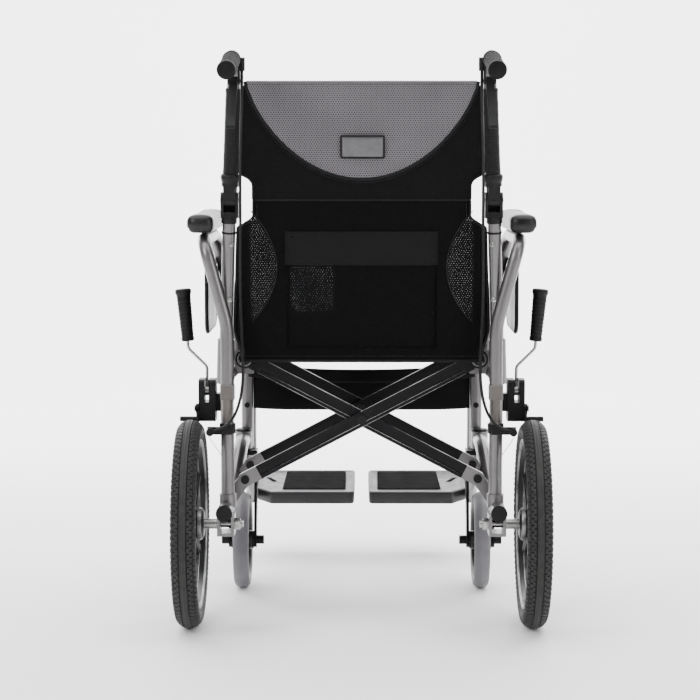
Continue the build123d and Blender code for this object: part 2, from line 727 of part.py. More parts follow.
def back_lower_panel():
    """Back upholstery below the hinge line, cut away at the hinges."""
    right = [(pivot_x - 16, back_bottom_z), (pivot_x - 16, 470), (cane_edge(490) - 1, 490),
             (cane_edge(cutout_bottom_z) - 1, cutout_bottom_z - 6), (cutout_half_width, cutout_bottom_z),
             (cutout_half_width, hinge_z - soft_gap)]
    return panel_slab(symmetric(right), -fabric_thickness / 2, fabric_thickness / 2)


def back_upper_panel():
    """Back upholstery above the hinge line, cut away at the hinges."""
    right = [(cutout_half_width, hinge_z + soft_gap), (cutout_half_width, cutout_top_z + 12),
             (upper_cane_x(780) - tube_radius - 1, 774),
             (upper_cane_x(back_top_z) - tube_radius - 1, back_top_z - 14),
             (upper_cane_x(back_top_z) - tube_radius - 12, back_top_z)]
    return panel_slab(symmetric(right), -fabric_thickness / 2, fabric_thickness / 2)


def back_pocket():
    """Flat pocket on the back of the lower panel."""
    near = fabric_thickness / 2 + soft_gap
    right = [(pocket_half_width, pocket_bottom_z), (pocket_half_width, pocket_top_z)]
    return panel_slab(symmetric(right), near, near + pocket_thickness)


# ---------------------------------------------------------------- armrest
def armrest_tube():
    """Armrest tube: two posts that slide over their spigots, swept out to the rail under the pad."""
    path = [(post_x, 0, collar_top_z - 5), (post_x, 0, armrest_sweep_z), (armrest_x, 0, armrest_top_z),
            (armrest_x, armrest_length, armrest_top_z), (post_x, armrest_length, armrest_sweep_z),
            (post_x, armrest_length, front_socket_top_z)]
    bends = [armrest_sweep_radius, armrest_corner_radius, armrest_corner_radius, armrest_sweep_radius]
    half = collar_width / 2
    collar = block(post_x - half, post_x + half, -half, half, collar_bottom_z, collar_top_z)
    bar = bent_bar(path, bends, tube_radius) + collar
    bore = bent_bar(path, bends, tube_radius - tube_wall)
    bore = bore + rod((post_x, 0, collar_bottom_z - 1), (post_x, 0, collar_top_z), tube_radius - tube_wall)
    return bar - bore


def arm_pad():
    """Armrest pad, screwed to the top of the armrest tube."""
    low = armrest_top_z + tube_radius
    pad = block(pad_inner_x, pad_inner_x + pad_width, -5, pad_length - 5, low, low + pad_thickness)
    return fillet(pad.edges().filter_by(Axis.Y), pad_corner_radius)


def side_guard():
    """Clothing guard: a panel outside the armrest posts, with the studs that hold it."""
    face = Plane.YZ * Pos((guard_rear_y + guard_front_y) / 2, (guard_bottom_z + guard_top_z) / 2) \
        * RectangleRounded(guard_front_y - guard_rear_y, guard_top_z - guard_bottom_z, guard_corner_radius)
    panel = Pos(guard_x - guard_thickness / 2, 0, 0) * extrude(face, amount=guard_thickness, dir=(1, 0, 0))
    stud_z = guard_top_z - 16
    stud = cross_rod(armrest_x - 18, guard_x, armrest_length, stud_z, guard_stud_radius)
    hanger_tab = block(guard_x - guard_thickness / 2, guard_x + guard_thickness / 2, 120, 150,
                       guard_top_z - 8, armrest_top_z)
    sleeve = bent_bar([(armrest_x, armrest_length, armrest_top_z), (post_x, armrest_length, armrest_sweep_z),
                       (post_x, armrest_length, front_socket_top_z)], [armrest_sweep_radius], tube_radius)
    rail = rod((armrest_x, 0, armrest_top_z), (armrest_x, armrest_length, armrest_top_z), tube_radius)
    return panel + (stud - sleeve) + (hanger_tab - rail)


# ---------------------------------------------------------------- parking brake
def park_brake_housing():
    """Brake body with a slot for the lever, hung from the upper side tube by a clamp plate."""
    y0, y1 = brake_y - housing_depth / 2, brake_y + housing_depth / 2
    body = block(housing_inner_x, housing_outer_x, y0, y1, brake_housing_bottom_z, brake_housing_top_z)
    body = fillet(body.edges().filter_by(Axis.X), 8)
    slot = block(brake_slot_inner_x, brake_slot_inner_x + brake_slot_width, y0 - 1, y1 + 1,
                 brake_slot_bottom_z, brake_housing_top_z + 1)
    tube_x = rail_x - (rail_x - upright_x) * (brake_y - hoop_rear_y) / (upright_y - hoop_rear_y)
    side_tube = rod((rail_x, hoop_rear_y, upper_tube_z), (upright_x, upright_y, upper_tube_z), tube_radius)
    plate = block(tube_x + 12, tube_x + 18, brake_y - 14, brake_y + 14, 352, upper_tube_z + 6)
    clamp = rod((tube_x, brake_y - 12, upper_tube_z), (tube_x, brake_y + 12, upper_tube_z), tube_radius + 3.5)
    clamp = clamp - block(tube_x - 30, tube_x - 3, brake_y - 20, brake_y + 20,
                          upper_tube_z - 30, upper_tube_z + 30)
    arm = block(tube_x + 14, housing_inner_x + 4, brake_y - 12, brake_y + 12, 352, 382)
    pin = cross_rod(brake_slot_inner_x - 6, brake_slot_inner_x + brake_slot_width + 6, brake_y, brake_pivot_z,
                    brake_pin_radius)
    bar_pin = cross_rod(housing_outer_x - 3, housing_outer_x + bar_arm_thickness + 2 * side_gap, bar_pivot_y,
                        bar_pivot_z, brake_pin_radius)
    bar_head = cross_rod(housing_outer_x + bar_arm_thickness + 2 * side_gap,
                         housing_outer_x + bar_arm_thickness + 2 * side_gap + 2, bar_pivot_y, bar_pivot_z, 5)
    return (body - slot) + pin + bar_pin + bar_head + arm + plate + clamp - side_tube


def park_brake_lever():
    """Parking brake lever: pivot eye, bent rod and a tapered hand grip."""
    low = (lever_rod_x, brake_y, brake_pivot_z)
    bottom = (lever_grip_x, brake_y, lever_grip_bottom_z)
    top = (lever_grip_x + lever_grip_lean, brake_y, lever_grip_top_z)
    path = [(lever_rod_x, brake_y, brake_pivot_z + 5), (lever_rod_x, brake_y, 428),
            (lever_grip_x - 0.5, brake_y, 459), (bottom[0] + 1, brake_y, bottom[2] + 12)]
    rod_bar = bent_bar(path, [14, 14], lever_rod_radius)
    eye = cross_rod(brake_slot_inner_x + side_gap, brake_slot_inner_x + brake_slot_width - side_gap,
                    low[1], low[2], 8)
    run = Vector(*top) - Vector(*bottom)
    grip = loft([Plane(origin=bottom, z_dir=run) * Circle(lever_grip_bottom_radius),
                 Plane(origin=top, z_dir=run) * Circle(lever_grip_top_radius)])
    lever = rod_bar + eye + grip
    return lever - cross_rod(lever_rod_x - 20, lever_rod_x + 20, low[1], low[2], brake_pin_radius + running)


def park_brake_bar():
    """Brake bar: a short arm on the housing's outer face and the bar that presses on the tyre."""
    x0 = housing_outer_x + side_gap
    arm = lobe(bar_pivot_y, bar_pivot_z, 8, bar_y, bar_z, 6, x0, x0 + bar_arm_thickness)
    arm = arm - cross_rod(x0 - 1, x0 + bar_arm_thickness + 1, bar_pivot_y, bar_pivot_z,
                          brake_pin_radius + running)
    bar = cross_rod(x0, bar_end_x, bar_y, bar_z, bar_radius)
    return arm + fillet(bar.faces().sort_by(Axis.X)[-1].edges(), 2)


# ---------------------------------------------------------------- footrest
def plate_point(x, along):
    """A point on the footplate's hinge line or beside it, at a distance along the plate."""
    tilt = math.radians(plate_tilt)
    return (x, plate_rear_y + along * math.cos(tilt), plate_centre_z + along * math.sin(tilt))


def plate_block(x0, x1, from_rear, to_rear):
    """A slab of the footplate's thickness, on its tilt."""
    middle = plate_point((x0 + x1) / 2, (from_rear + to_rear) / 2)
    return Location(middle, (plate_tilt, 0, 0)) * Box(x1 - x0, to_rear - from_rear, plate_thickness)


def footrest_hanger():
    """Swing-away hanger: tube down from its bushes, hinge lug and pin for the footplate, and latch."""
    path = [(hanger_x, hanger_y, hanger_top_z), (hanger_x, hanger_y, hanger_corner_z),
            plate_point(plate_hinge_x, 6)]
    tube = bent_bar(path, [hanger_bend_radius], tube_radius)
    lug = rod(plate_point(plate_hinge_x, 0), plate_point(plate_hinge_x, hanger_lug_length), hanger_lug_radius)
    pin = rod(plate_point(plate_hinge_x, 0), plate_point(plate_hinge_x, plate_length - 4), plate_pin_radius)
    latch = block(hanger_x - 6, hanger_x + 6, hanger_y + tube_radius - 2, hanger_y + tube_radius + 16,
                  hanger_ring_zs[1] - 22, hanger_ring_zs[1] - 6)
    hollow = bent_bar(path[:1] + path[1:2] + [plate_point(plate_hinge_x, -30)], [hanger_bend_radius],
                      tube_radius - tube_wall)
    return (tube - hollow) + lug + pin + latch


def footplate():
    """Footplate with a hinge barrel along its outer edge."""
    slab = plate_block(plate_inner_x, plate_notch_x, 0, plate_length)
    slab = fillet(slab.edges().group_by(Axis.X)[0].filter_by(Axis.X, reverse=True).sort_by(Axis.Y)[0], 3)
    slab = slab + plate_block(plate_notch_x - 1, plate_hinge_x, plate_notch_length, plate_length)
    barrel = rod(plate_point(plate_hinge_x, plate_notch_length), plate_point(plate_hinge_x, plate_length),
                 plate_thickness / 2)
    pin_space = rod(plate_point(plate_hinge_x, -10), plate_point(plate_hinge_x, plate_length - 3),
                    plate_pin_radius + running)
    return slab + barrel - pin_space


def calf_strap():
    """Calf strap between the front uprights."""
    reach = upright_x - tube_radius - soft_gap
    return block(-reach, reach, upright_y - fabric_thickness / 2, upright_y + fabric_thickness / 2,
                 strap_bottom_z, strap_top_z)


# ---------------------------------------------------------------- assembly
def as_list(shape):
    """The shape as a list, so that grouped pieces and single ones are handled alike."""
    return list(shape) if isinstance(shape, list) else [shape]


def both_sides(name, make, by_side=False):
    """Makes a right-hand node and its mirrored left-hand twin."""
    right = as_list(make(1) if by_side else make())
    left = as_list(make(-1)) if by_side else right
    nodes["right_" + name] = right
    nodes["left_" + name] = [piece.mirror(Plane.YZ) for piece in left]


nodes = {}
both_sides("side_frame", side_frame, by_side=True)
both_sides("frame_fittings", frame_fittings, by_side=True)
for name, make in [
    ("rear_axle", rear_axle), ("rear_tyre", rear_tyre), ("rear_wheel", rear_wheel),
    ("caster_fork", caster_fork), ("caster_axle", caster_axle), ("caster_tyre", caster_tyre),
    ("caster_wheel", caster_wheel), ("armrest_tube", armrest_tube), ("arm_pad", arm_pad),
    ("side_guard", side_guard), ("park_brake_housing", park_brake_housing),
    ("park_brake_lever", park_brake_lever), ("park_brake_bar", park_brake_bar),
    ("lower_cane", lower_cane), ("back_hinge", back_hinge), ("hinge_knob", hinge_knob),
    ("upper_cane", upper_cane), ("hand_grip", hand_grip), ("lever_clamp", lever_clamp),
    ("brake_lever", brake_lever), ("brake_cable", brake_cable), ("footrest_hanger", footrest_hanger),
    ("footplate", footplate),
]:
    both_sides(name, make)
nodes["brace_arms_from_left"] = brace_arms(-1)
nodes["brace_arms_from_right"] = brace_arms(1)
nodes["right_seat_rail"] = seat_rail(-1)
nodes["left_seat_rail"] = seat_rail(1)
nodes["brace_bolts"] = brace_bolts()
nodes["seat_sling"] = [seat_sling()]
nodes["back_lower_panel"] = [back_lower_panel()]
nodes["back_upper_panel"] = [back_upper_panel()]
nodes["back_pocket"] = [back_pocket()]
nodes["calf_strap"] = [calf_strap()]

boxes = [piece.bounding_box() for pieces in nodes.values() for piece in pieces]
middle_y = (min(b.min.Y for b in boxes) + max(b.max.Y for b in boxes)) / 2
os.makedirs("parts", exist_ok=True)
for name, pieces in nodes.items():
    solids = [solid for piece in pieces for solid in piece.solids()]
    placed = Pos(0, -middle_y, 0) * Compound(children=solids)
    export_step(placed, f"parts/{name}.step")
print("rear axle lies at y =", round(-middle_y, 3))
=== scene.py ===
import bpy
import numpy as np
from math import copysign, cos, exp, hypot, pi, radians, sin, sqrt, tan
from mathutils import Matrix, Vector


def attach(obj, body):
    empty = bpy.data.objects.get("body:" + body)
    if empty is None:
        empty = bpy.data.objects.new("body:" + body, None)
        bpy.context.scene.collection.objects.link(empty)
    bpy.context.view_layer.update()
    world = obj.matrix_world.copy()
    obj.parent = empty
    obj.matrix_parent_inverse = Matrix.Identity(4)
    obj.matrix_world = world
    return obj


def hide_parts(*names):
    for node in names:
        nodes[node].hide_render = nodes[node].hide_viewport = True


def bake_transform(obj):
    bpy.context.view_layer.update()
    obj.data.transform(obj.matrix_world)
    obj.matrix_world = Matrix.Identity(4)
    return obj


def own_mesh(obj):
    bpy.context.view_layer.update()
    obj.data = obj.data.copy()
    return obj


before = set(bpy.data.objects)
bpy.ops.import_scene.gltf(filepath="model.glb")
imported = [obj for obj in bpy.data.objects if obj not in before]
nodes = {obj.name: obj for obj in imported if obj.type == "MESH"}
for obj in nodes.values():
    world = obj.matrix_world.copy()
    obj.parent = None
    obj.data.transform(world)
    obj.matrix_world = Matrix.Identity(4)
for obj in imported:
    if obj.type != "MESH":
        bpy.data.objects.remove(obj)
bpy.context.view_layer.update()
Y0 = -0.269044                      # the rear axle in the row frame; the helpers below count Y from it


# ---- materials
class Mat:
    """A principled material with a few helpers for wiring nodes."""

    def __init__(self, name, colour, rough, metal=0.0, spec=0.5, coat=0.0, sheen=0.0):
        self.m = bpy.data.materials.new(name)
        self.m.use_nodes = True
        self.nt = self.m.node_tree
        self.nt.nodes.clear()
        self.b = self.nt.nodes.new("ShaderNodeBsdfPrincipled")
        self.put(self.nt.nodes.new("ShaderNodeOutputMaterial").inputs[0], self.b.outputs[0])
        for key, value in (("Base Color", (*colour, 1)), ("Roughness", rough), ("Metallic", metal),
                           ("Specular IOR Level", spec), ("Coat Weight", coat), ("Coat Roughness", 0.12),
                           ("Sheen Weight", sheen), ("Sheen Roughness", 0.45)):
            self.put(self.b.inputs[key], value)
        self.colour, self.rough = colour, rough
        self.relief = None

    def put(self, socket, value):
        if hasattr(value, "links"):
            self.nt.links.new(value, socket)
        else:
            socket.default_value = value

    def node(self, kind, inputs=(), out=0, **sets):
        """The output of a new node; inputs pairs each socket's name or number with a value or a link."""
        n = self.nt.nodes.new(kind)
        for k, v in sets.items():
            setattr(n, k, v)
        for k, v in inputs:
            self.put(n.inputs[k], v)
        return n.outputs[out]

    def math(self, op, a, b=0.0):
        return self.node("ShaderNodeMath", ((0, a), (1, b)), operation=op)

    def coord(self, which="Object"):
        return self.node("ShaderNodeTexCoord", out=which)

    def scaled(self, vector, scale):
        return self.node("ShaderNodeMapping", (("Vector", vector), ("Scale", scale)))

    def split(self, vector):
        n = self.nt.nodes.new("ShaderNodeSeparateXYZ")
        self.put(n.inputs[0], vector)
        return n.outputs

    def noise(self, vector, scale, detail=3.0, rough=0.5):
        return self.node("ShaderNodeTexNoise",
                         (("Vector", vector), ("Scale", scale), ("Detail", detail), ("Roughness", rough)))

    def voronoi(self, vector, scale, feature="F1"):
        return self.node("ShaderNodeTexVoronoi", (("Vector", vector), ("Scale", scale)), feature=feature)

    def band(self, value, low, high, to_low=0.0, to_high=1.0):
        return self.node("ShaderNodeMapRange", enumerate((value, low, high, to_low, to_high)))

    def mix(self, factor, a, b):
        a, b = (c if hasattr(c, "links") else (*c, 1) for c in (a, b))
        return self.node("ShaderNodeMix", ((0, factor), (6, a), (7, b)), out=2, data_type="RGBA")

    def bump(self, height, distance, strength=1.0):
        inputs = [("Height", height), ("Distance", distance), ("Strength", strength)]
        if self.relief is not None:
            inputs.append(("Normal", self.relief))
        self.relief = self.node("ShaderNodeBump", inputs)
        self.put(self.b.inputs["Normal"], self.relief)

    def base(self, colour):
        self.put(self.b.inputs["Base Color"], colour)

    def roughness(self, value, low, high):
        """Roughness between two values, by the middle of a noise."""
        self.put(self.b.inputs["Roughness"], self.band(value, 0.3, 0.7, low, high))

    def reach(self, value, centre, size, power):
        """Distance from a centre, as a share of a size, to a power."""
        share = self.math("DIVIDE", self.math("SUBTRACT", value, centre), size)
        return self.math("POWER", self.math("ABSOLUTE", share), power)

    def wave(self, kind, value, length):
        return self.math(kind, self.math("MULTIPLY", value, 2 * pi / length))

    def vary(self, vector, scale, colour_to, amount, rough_amount):
        """Soft blotches in colour and roughness."""
        n = self.noise(vector, scale, 4.0)
        self.base(self.mix(self.band(n, 0.35, 0.7, 0.0, amount), self.colour, colour_to))
        self.roughness(n, self.rough - rough_amount, self.rough + rough_amount)


# key: name, colour, roughness, other shader settings, blotches (scale, colour, amount, change of roughness) and
# grain (pattern, scale, detail, depth in metres, strength); a scale in three parts draws the grain out in lines
PLAIN = {
    "silver": ("silver_paint", (0.185, 0.178, 0.178), 0.36, dict(metal=0.9, coat=0.12),
               (22, (0.15, 0.145, 0.145), 0.6, 0.05),
               [("noise", 2600, 2, 0.00006, 0.35), ("noise", 260, 3, 0.00012, 0.25)]),
    "collar": ("collar_grey", (0.15, 0.133, 0.126), 0.42, dict(metal=0.8),
               (60, (0.115, 0.104, 0.098), 0.6, 0.06), [("noise", 1800, 2, 0.00005, 0.4)]),
    "plastic": ("moulded_black", (0.004, 0.004, 0.0045), 0.44, dict(spec=0.2),
                (35, (0.009, 0.009, 0.0095), 0.8, 0.08), [("F1", 1400, 0, 0.00008, 0.35)]),
    "wheel": ("wheel_black", (0.005, 0.005, 0.0055), 0.36, dict(spec=0.3),
              (28, (0.014, 0.014, 0.0145), 0.7, 0.1), [("noise", 900, 3, 0.00006, 0.5)]),
    "brace": ("brace_black", (0.0025, 0.0025, 0.0032), 0.36, dict(spec=0.16, coat=0.03),
              (30, (0.005, 0.005, 0.0065), 0.7, 0.08), [("noise", 1500, 2, 0.00003, 0.25)]),
    "zinc": ("zinc_steel", (0.38, 0.38, 0.375), 0.3, dict(metal=1.0),
             (120, (0.28, 0.28, 0.27), 0.8, 0.09), [("noise", (900, 90, 90), 4, 0.00003, 0.4)]),
    "pad": ("pad_skin", (0.004, 0.004, 0.0045), 0.36, dict(spec=0.3),
            (40, (0.011, 0.011, 0.012), 0.8, 0.08),
            [("DISTANCE_TO_EDGE", 620, 0, 0.00018, 0.45), ("noise", 45, 3, 0.0008, 0.2)]),
    "grip": ("grip_rubber", (0.0035, 0.0035, 0.0035), 0.6, dict(spec=0.14),
             (70, (0.008, 0.008, 0.008), 0.9, 0.08), [("noise", 2200, 2, 0.0001, 0.5)]),
    "guard": ("guard_grey", (0.05, 0.05, 0.053), 0.4, dict(spec=0.4),
              (18, (0.035, 0.035, 0.038), 0.8, 0.07), [("F1", 900, 0, 0.0001, 0.4)]),
    "tread": ("plate_tread", (0.002, 0.002, 0.0024), 0.75, dict(spec=0.04),
              (50, (0.005, 0.005, 0.0056), 0.8, 0.08), [("noise", 1500, 2, 0.00012, 0.5)]),
    "badge": ("badge_plate", (0.12, 0.117, 0.122), 0.38, dict(metal=0.5, coat=0.2),
              (90, (0.08, 0.078, 0.083), 0.6, 0.05), [("noise", (60, 60, 2400), 2, 0.00002, 0.5)]),
    "cable": ("cable_sheath", (0.005, 0.005, 0.005), 0.45, dict(spec=0.22),
              (110, (0.01, 0.01, 0.01), 0.8, 0.08), [("noise", 1500, 2, 0.00005, 0.5)]),
    "thread": ("thread", (0.022, 0.022, 0.023), 0.6, dict(spec=0.2, sheen=0.1),
               (400, (0.045, 0.045, 0.045), 0.7, 0.08), []),
}


def plain(name, colour, rough, shine, blotches, grains):
    a = Mat(name, colour, rough, **shine)
    p = a.coord()
    a.vary(p, *blotches)
    for pattern, scale, detail, depth, strength in grains:
        if pattern != "noise":
            height = a.voronoi(p, scale, pattern)
        elif isinstance(scale, tuple):
            height = a.noise(a.scaled(p, scale), 1.0, detail)
        else:
            height = a.noise(p, scale, detail)
        a.bump(height, depth, strength)
    return a.m


def rear_rubber():
    """Tyre rubber: the V of the piece's UV is the height of its relief, and the grooves are painted darker as
    painted shade.
    """
    a = Mat("rear_tyre_rubber", (0.009, 0.009, 0.009), 0.62, spec=0.25)
    p = a.coord()
    n = a.noise(p, 70, 5, 0.65)
    worn = a.mix(a.band(n, 0.4, 0.8), (0.014, 0.014, 0.014), (0.034, 0.033, 0.032))
    relief = a.split(a.coord("UV"))[1]
    # painted shade: low relief, in the tread's grooves, gets the near-black colour
    a.base(a.mix(a.band(relief, 0.15, 0.7), (0.003, 0.003, 0.003), worn))
    a.roughness(n, 0.5, 0.75)
    a.bump(a.noise(p, 1300, 3), 0.00012, 0.5)
    return a.m


def plate_plastic():
    """The footplates: a mottled grey on their upper faces and near black at their sides; this split by the way
    each face turns is painted light and shade.
    """
    a = Mat("plate_grey", (0.10, 0.103, 0.108), 0.45, spec=0.45)
    p = a.coord()
    up = a.split(a.node("ShaderNodeNewGeometry", out="Normal"))[2]
    n = a.noise(p, 60, 4)
    worn_and_lit_top = a.mix(a.band(n, 0.4, 0.75), (0.052, 0.05, 0.055), (0.036, 0.035, 0.039))
    # painted light and shade: faces that look up get the mottled grey, faces that turn aside go near black
    a.base(a.mix(a.band(up, 0.45, 0.75), (0.008, 0.0078, 0.009), worn_and_lit_top))
    a.roughness(n, 0.35, 0.52)
    a.bump(a.voronoi(p, 1000), 0.00012, 0.4)
    return a.m


def caster_rubber():
    a = Mat("caster_tyre_grey", (0.36, 0.365, 0.375), 0.5, spec=0.35)
    p = a.coord()
    n = a.noise(p, 40, 5, 0.6)
    a.base(a.mix(a.band(n, 0.3, 0.75), (0.165, 0.158, 0.172), (0.135, 0.13, 0.143)))
    a.roughness(n, 0.42, 0.62)
    a.bump(a.noise(p, 900, 3), 0.0001, 0.4)
    return a.m


def rim_metal():
    a = Mat("rim_silver", (0.2, 0.2, 0.205), 0.38, metal=0.85)
    n = a.noise(a.coord(), 38, 6, 0.7)
    # painted reflection: the dark blotches across the silver stand in for the rim's mottled reflections
    a.base(a.mix(a.band(n, 0.42, 0.6), (0.21, 0.21, 0.215), (0.09, 0.09, 0.094)))
    a.roughness(n, 0.25, 0.45)
    return a.m


def weave(name, colour, lift, pitch):
    """Plain woven cloth, its threads laid by the piece's UV in metres."""
    a = Mat(name, colour, 0.72, spec=0.1, sheen=0.015)
    u, v, _ = a.split(a.coord("UV"))
    over = a.math("MULTIPLY", a.wave("SINE", u, pitch), a.wave("SINE", v, pitch))
    a.base(a.mix(a.band(over, -1, 1), colour, lift))
    a.bump(over, 0.00022, 0.6)
    a.bump(a.noise(a.coord("UV"), 38, 4), 0.0016, 0.3)
    return a.m


def braided_sleeve(pitch=0.0052):
    a = Mat("woven_sleeve", (0.003, 0.003, 0.0035), 0.62, spec=0.2, sheen=0.04)
    u, v, _ = a.split(a.coord("UV"))
    over = a.math("MULTIPLY", *(a.wave("SINE", a.math(op, u, v), pitch) for op in ("ADD", "SUBTRACT")))
    a.base(a.mix(a.band(over, -0.1, 0.9), (0.0025, 0.0025, 0.0025), (0.012, 0.012, 0.013)))
    a.bump(over, 0.0006, 0.8)
    a.bump(a.noise(a.coord("UV"), 700, 2), 0.0002, 0.4)
    return a.m


def honeycomb(a, pitch, hole):
    """Mask of a knitted mesh that is 0 on the threads and 1 in the holes, from the piece's own UV."""
    u, v, _ = a.split(a.coord("UV"))
    row = pitch * 0.866
    cells = a.math("MULTIPLY", a.wave("COSINE", u, pitch), a.wave("COSINE", v, 2 * row))
    field = a.math("ADD", cells, a.math("MULTIPLY", a.wave("COSINE", v, row), 0.35))
    return a.band(field, hole, hole + 0.25)


def knit_relief(a, holes, thread):
    a.bump(a.math("SUBTRACT", 1.0, holes), 0.0007, 0.7)
    a.bump(thread, 0.0002, 0.4)
    a.bump(a.noise(a.coord("UV"), 22, 3), 0.003, 0.25)


def mesh_cloth(name, dark, light, pitch, windows=(), opening=0.6):
    """Knitted spacer mesh. In its windows (centre, half size and powers) it can be seen through."""
    hole = 0.5
    a = Mat(name, dark, 0.7, spec=0.06)
    holes = honeycomb(a, pitch, hole)
    thread = a.noise(a.coord("UV"), 900, 2)
    broad = a.noise(a.coord("UV"), 14, 3)
    lit = a.mix(a.band(thread, 0.35, 0.7), tuple(c * 0.8 for c in light), light)
    lit = a.mix(a.band(broad, 0.35, 0.7, 0.0, 0.35), lit, tuple(c * 0.72 for c in light))
    a.base(a.mix(holes, lit, dark))
    a.roughness(thread, 0.62, 0.8)
    knit_relief(a, holes, thread)
    if windows:
        x, z, _ = a.split(a.coord("UV"))
        total = None
        for cx, cz, rx, rz, px, pz in windows:
            far = a.math("ADD", a.reach(x, cx, rx, px), a.reach(z, cz, rz, pz))
            inside = a.band(far, 0.98, 1.02, 1.0, 0.0)
            total = inside if total is None else a.math("MAXIMUM", total, inside)
        see = a.math("MULTIPLY", a.math("MULTIPLY", total, honeycomb(a, pitch, hole + opening)),
                     a.band(a.math("ABSOLUTE", x), 0.184, 0.186, 1.0, 0.0))
        a.put(a.b.inputs["Alpha"], a.math("SUBTRACT", 1.0, see))
    return a.m


def two_zone_cloth():
    """The upper back: light grey mesh inside the curved yoke, black mesh around it."""
    a = Mat("back_upper_mesh", (0.002, 0.002, 0.0022), 0.7, spec=0.08, sheen=0.01)
    holes = honeycomb(a, 0.004, 0.3)
    x, z, _ = a.split(a.coord("UV"))
    far = a.math("ADD", a.reach(x, 0.0, 0.189, 2.0), a.reach(z, 0.9158, 0.159, 1.4))
    inside = a.band(far, 0.985, 1.0, 1.0, 0.0)
    thread = a.noise(a.coord("UV"), 900, 2)
    broad = a.noise(a.coord("UV"), 11, 3)
    grey = a.mix(a.band(thread, 0.35, 0.7), (0.13, 0.122, 0.132), (0.18, 0.168, 0.182))
    grey = a.mix(a.band(broad, 0.35, 0.7, 0.0, 0.35), grey, (0.1, 0.094, 0.102))
    grey = a.mix(holes, grey, (0.012, 0.0115, 0.013))
    black = a.mix(holes, (0.004, 0.004, 0.0044), (0.001, 0.001, 0.0011))
    a.base(a.mix(inside, black, grey))
    a.roughness(thread, 0.6, 0.78)
    knit_relief(a, holes, thread)
    return a.m


LEAN_ANGLE = radians(8)              # the back leans to the rear
TILT = cos(LEAN_ANGLE)
POCKET_WINDOW = (-0.0825, 0.567 / TILT, 0.0355, 0.039, 8.0, 8.0)
WINDOWS = [(s * 0.19, 0.603 / TILT, 0.048, 0.1, 1.0, 2.0) for s in (1, -1)] + [POCKET_WINDOW]
M = {key: plain(*row) for key, row in PLAIN.items()}
M.update(
    tyre=rear_rubber(), grey_tyre=caster_rubber(), plate=plate_plastic(), rim=rim_metal(),
    sleeve=braided_sleeve(),
    nylon=weave("nylon_weave", (0.0035, 0.0035, 0.004), (0.009, 0.009, 0.0095), 0.0011),
    webbing=weave("webbing_weave", (0.006, 0.006, 0.0065), (0.014, 0.014, 0.015), 0.0022),
    mesh_black=mesh_cloth("mesh_black", (0.001, 0.001, 0.0012), (0.0032, 0.0032, 0.0036), 0.0042, WINDOWS),
    mesh_grey=mesh_cloth("mesh_grey", (0.03, 0.028, 0.031), (0.17, 0.16, 0.173), 0.0036),
    pocket_mesh=mesh_cloth("pocket_mesh", (0.001, 0.001, 0.0012), (0.003, 0.003, 0.0034), 0.0042,
                           [POCKET_WINDOW], 0.12),
    back_upper=two_zone_cloth())


# ---- geometry helpers
def at(x, y, z):
    """A point in millimetres, counted from the rear axle, as a place in the row frame."""
    return Vector((x / 1000, y / 1000 + Y0, z / 1000))


def finish_mesh(name, verts, faces, material, uv=None, smooth=True):
    me = bpy.data.meshes.new(name)
    me.from_pydata([tuple(v) for v in verts], [], faces)
    me.validate()
    if uv is not None:
        layer = me.uv_layers.new(name="UVMap")
        loops = np.zeros(len(me.loops), dtype=np.int32)
        me.loops.foreach_get("vertex_index", loops)
        layer.data.foreach_set("uv", np.array(uv, dtype=np.float32)[loops].reshape(-1))
    me.polygons.foreach_set("use_smooth", [smooth] * len(me.polygons))
    me.materials.append(M[material])
    me.update()
    ob = bpy.data.objects.new(name, me)
    bpy.context.scene.collection.objects.link(ob)
    return ob


def facing(faces, s):
    """The faces, turned over on the mirrored left side."""
    return [f[::s] for f in faces]


def sharp(ob, angle=35):
    """Keeps the creases of a smooth mesh that turn more than an angle."""
    ob.data.set_sharp_from_angle(angle=radians(angle))
    return ob


def lathe(name, profile, centre, axis, material, segments=48, smooth_angle=35):
    """A turned piece: profile is (radius, along) in millimetres round an axis through centre."""
    z = Vector(axis).normalized()
    x = z.orthogonal().normalized()
    y = z.cross(x)
    c = Vector(centre)
    verts, faces, uv = [], [], []
    n = len(profile)
    for i in range(segments):
        t = 2 * pi * i / segments
        d = x * cos(t) + y * sin(t)
        for k, (r, h) in enumerate(profile):
            verts.append(c + d * (r / 1000) + z * (h / 1000))
            uv.append((t * r / 1000, h / 1000))
    for i in range(segments):
        j = (i + 1) % segments
        for k in range(n - 1):
            faces.append((i * n + k, j * n + k, j * n + k + 1, i * n + k + 1))
    ob = finish_mesh(name, verts, faces, material, uv)
    return sharp(ob, smooth_angle)


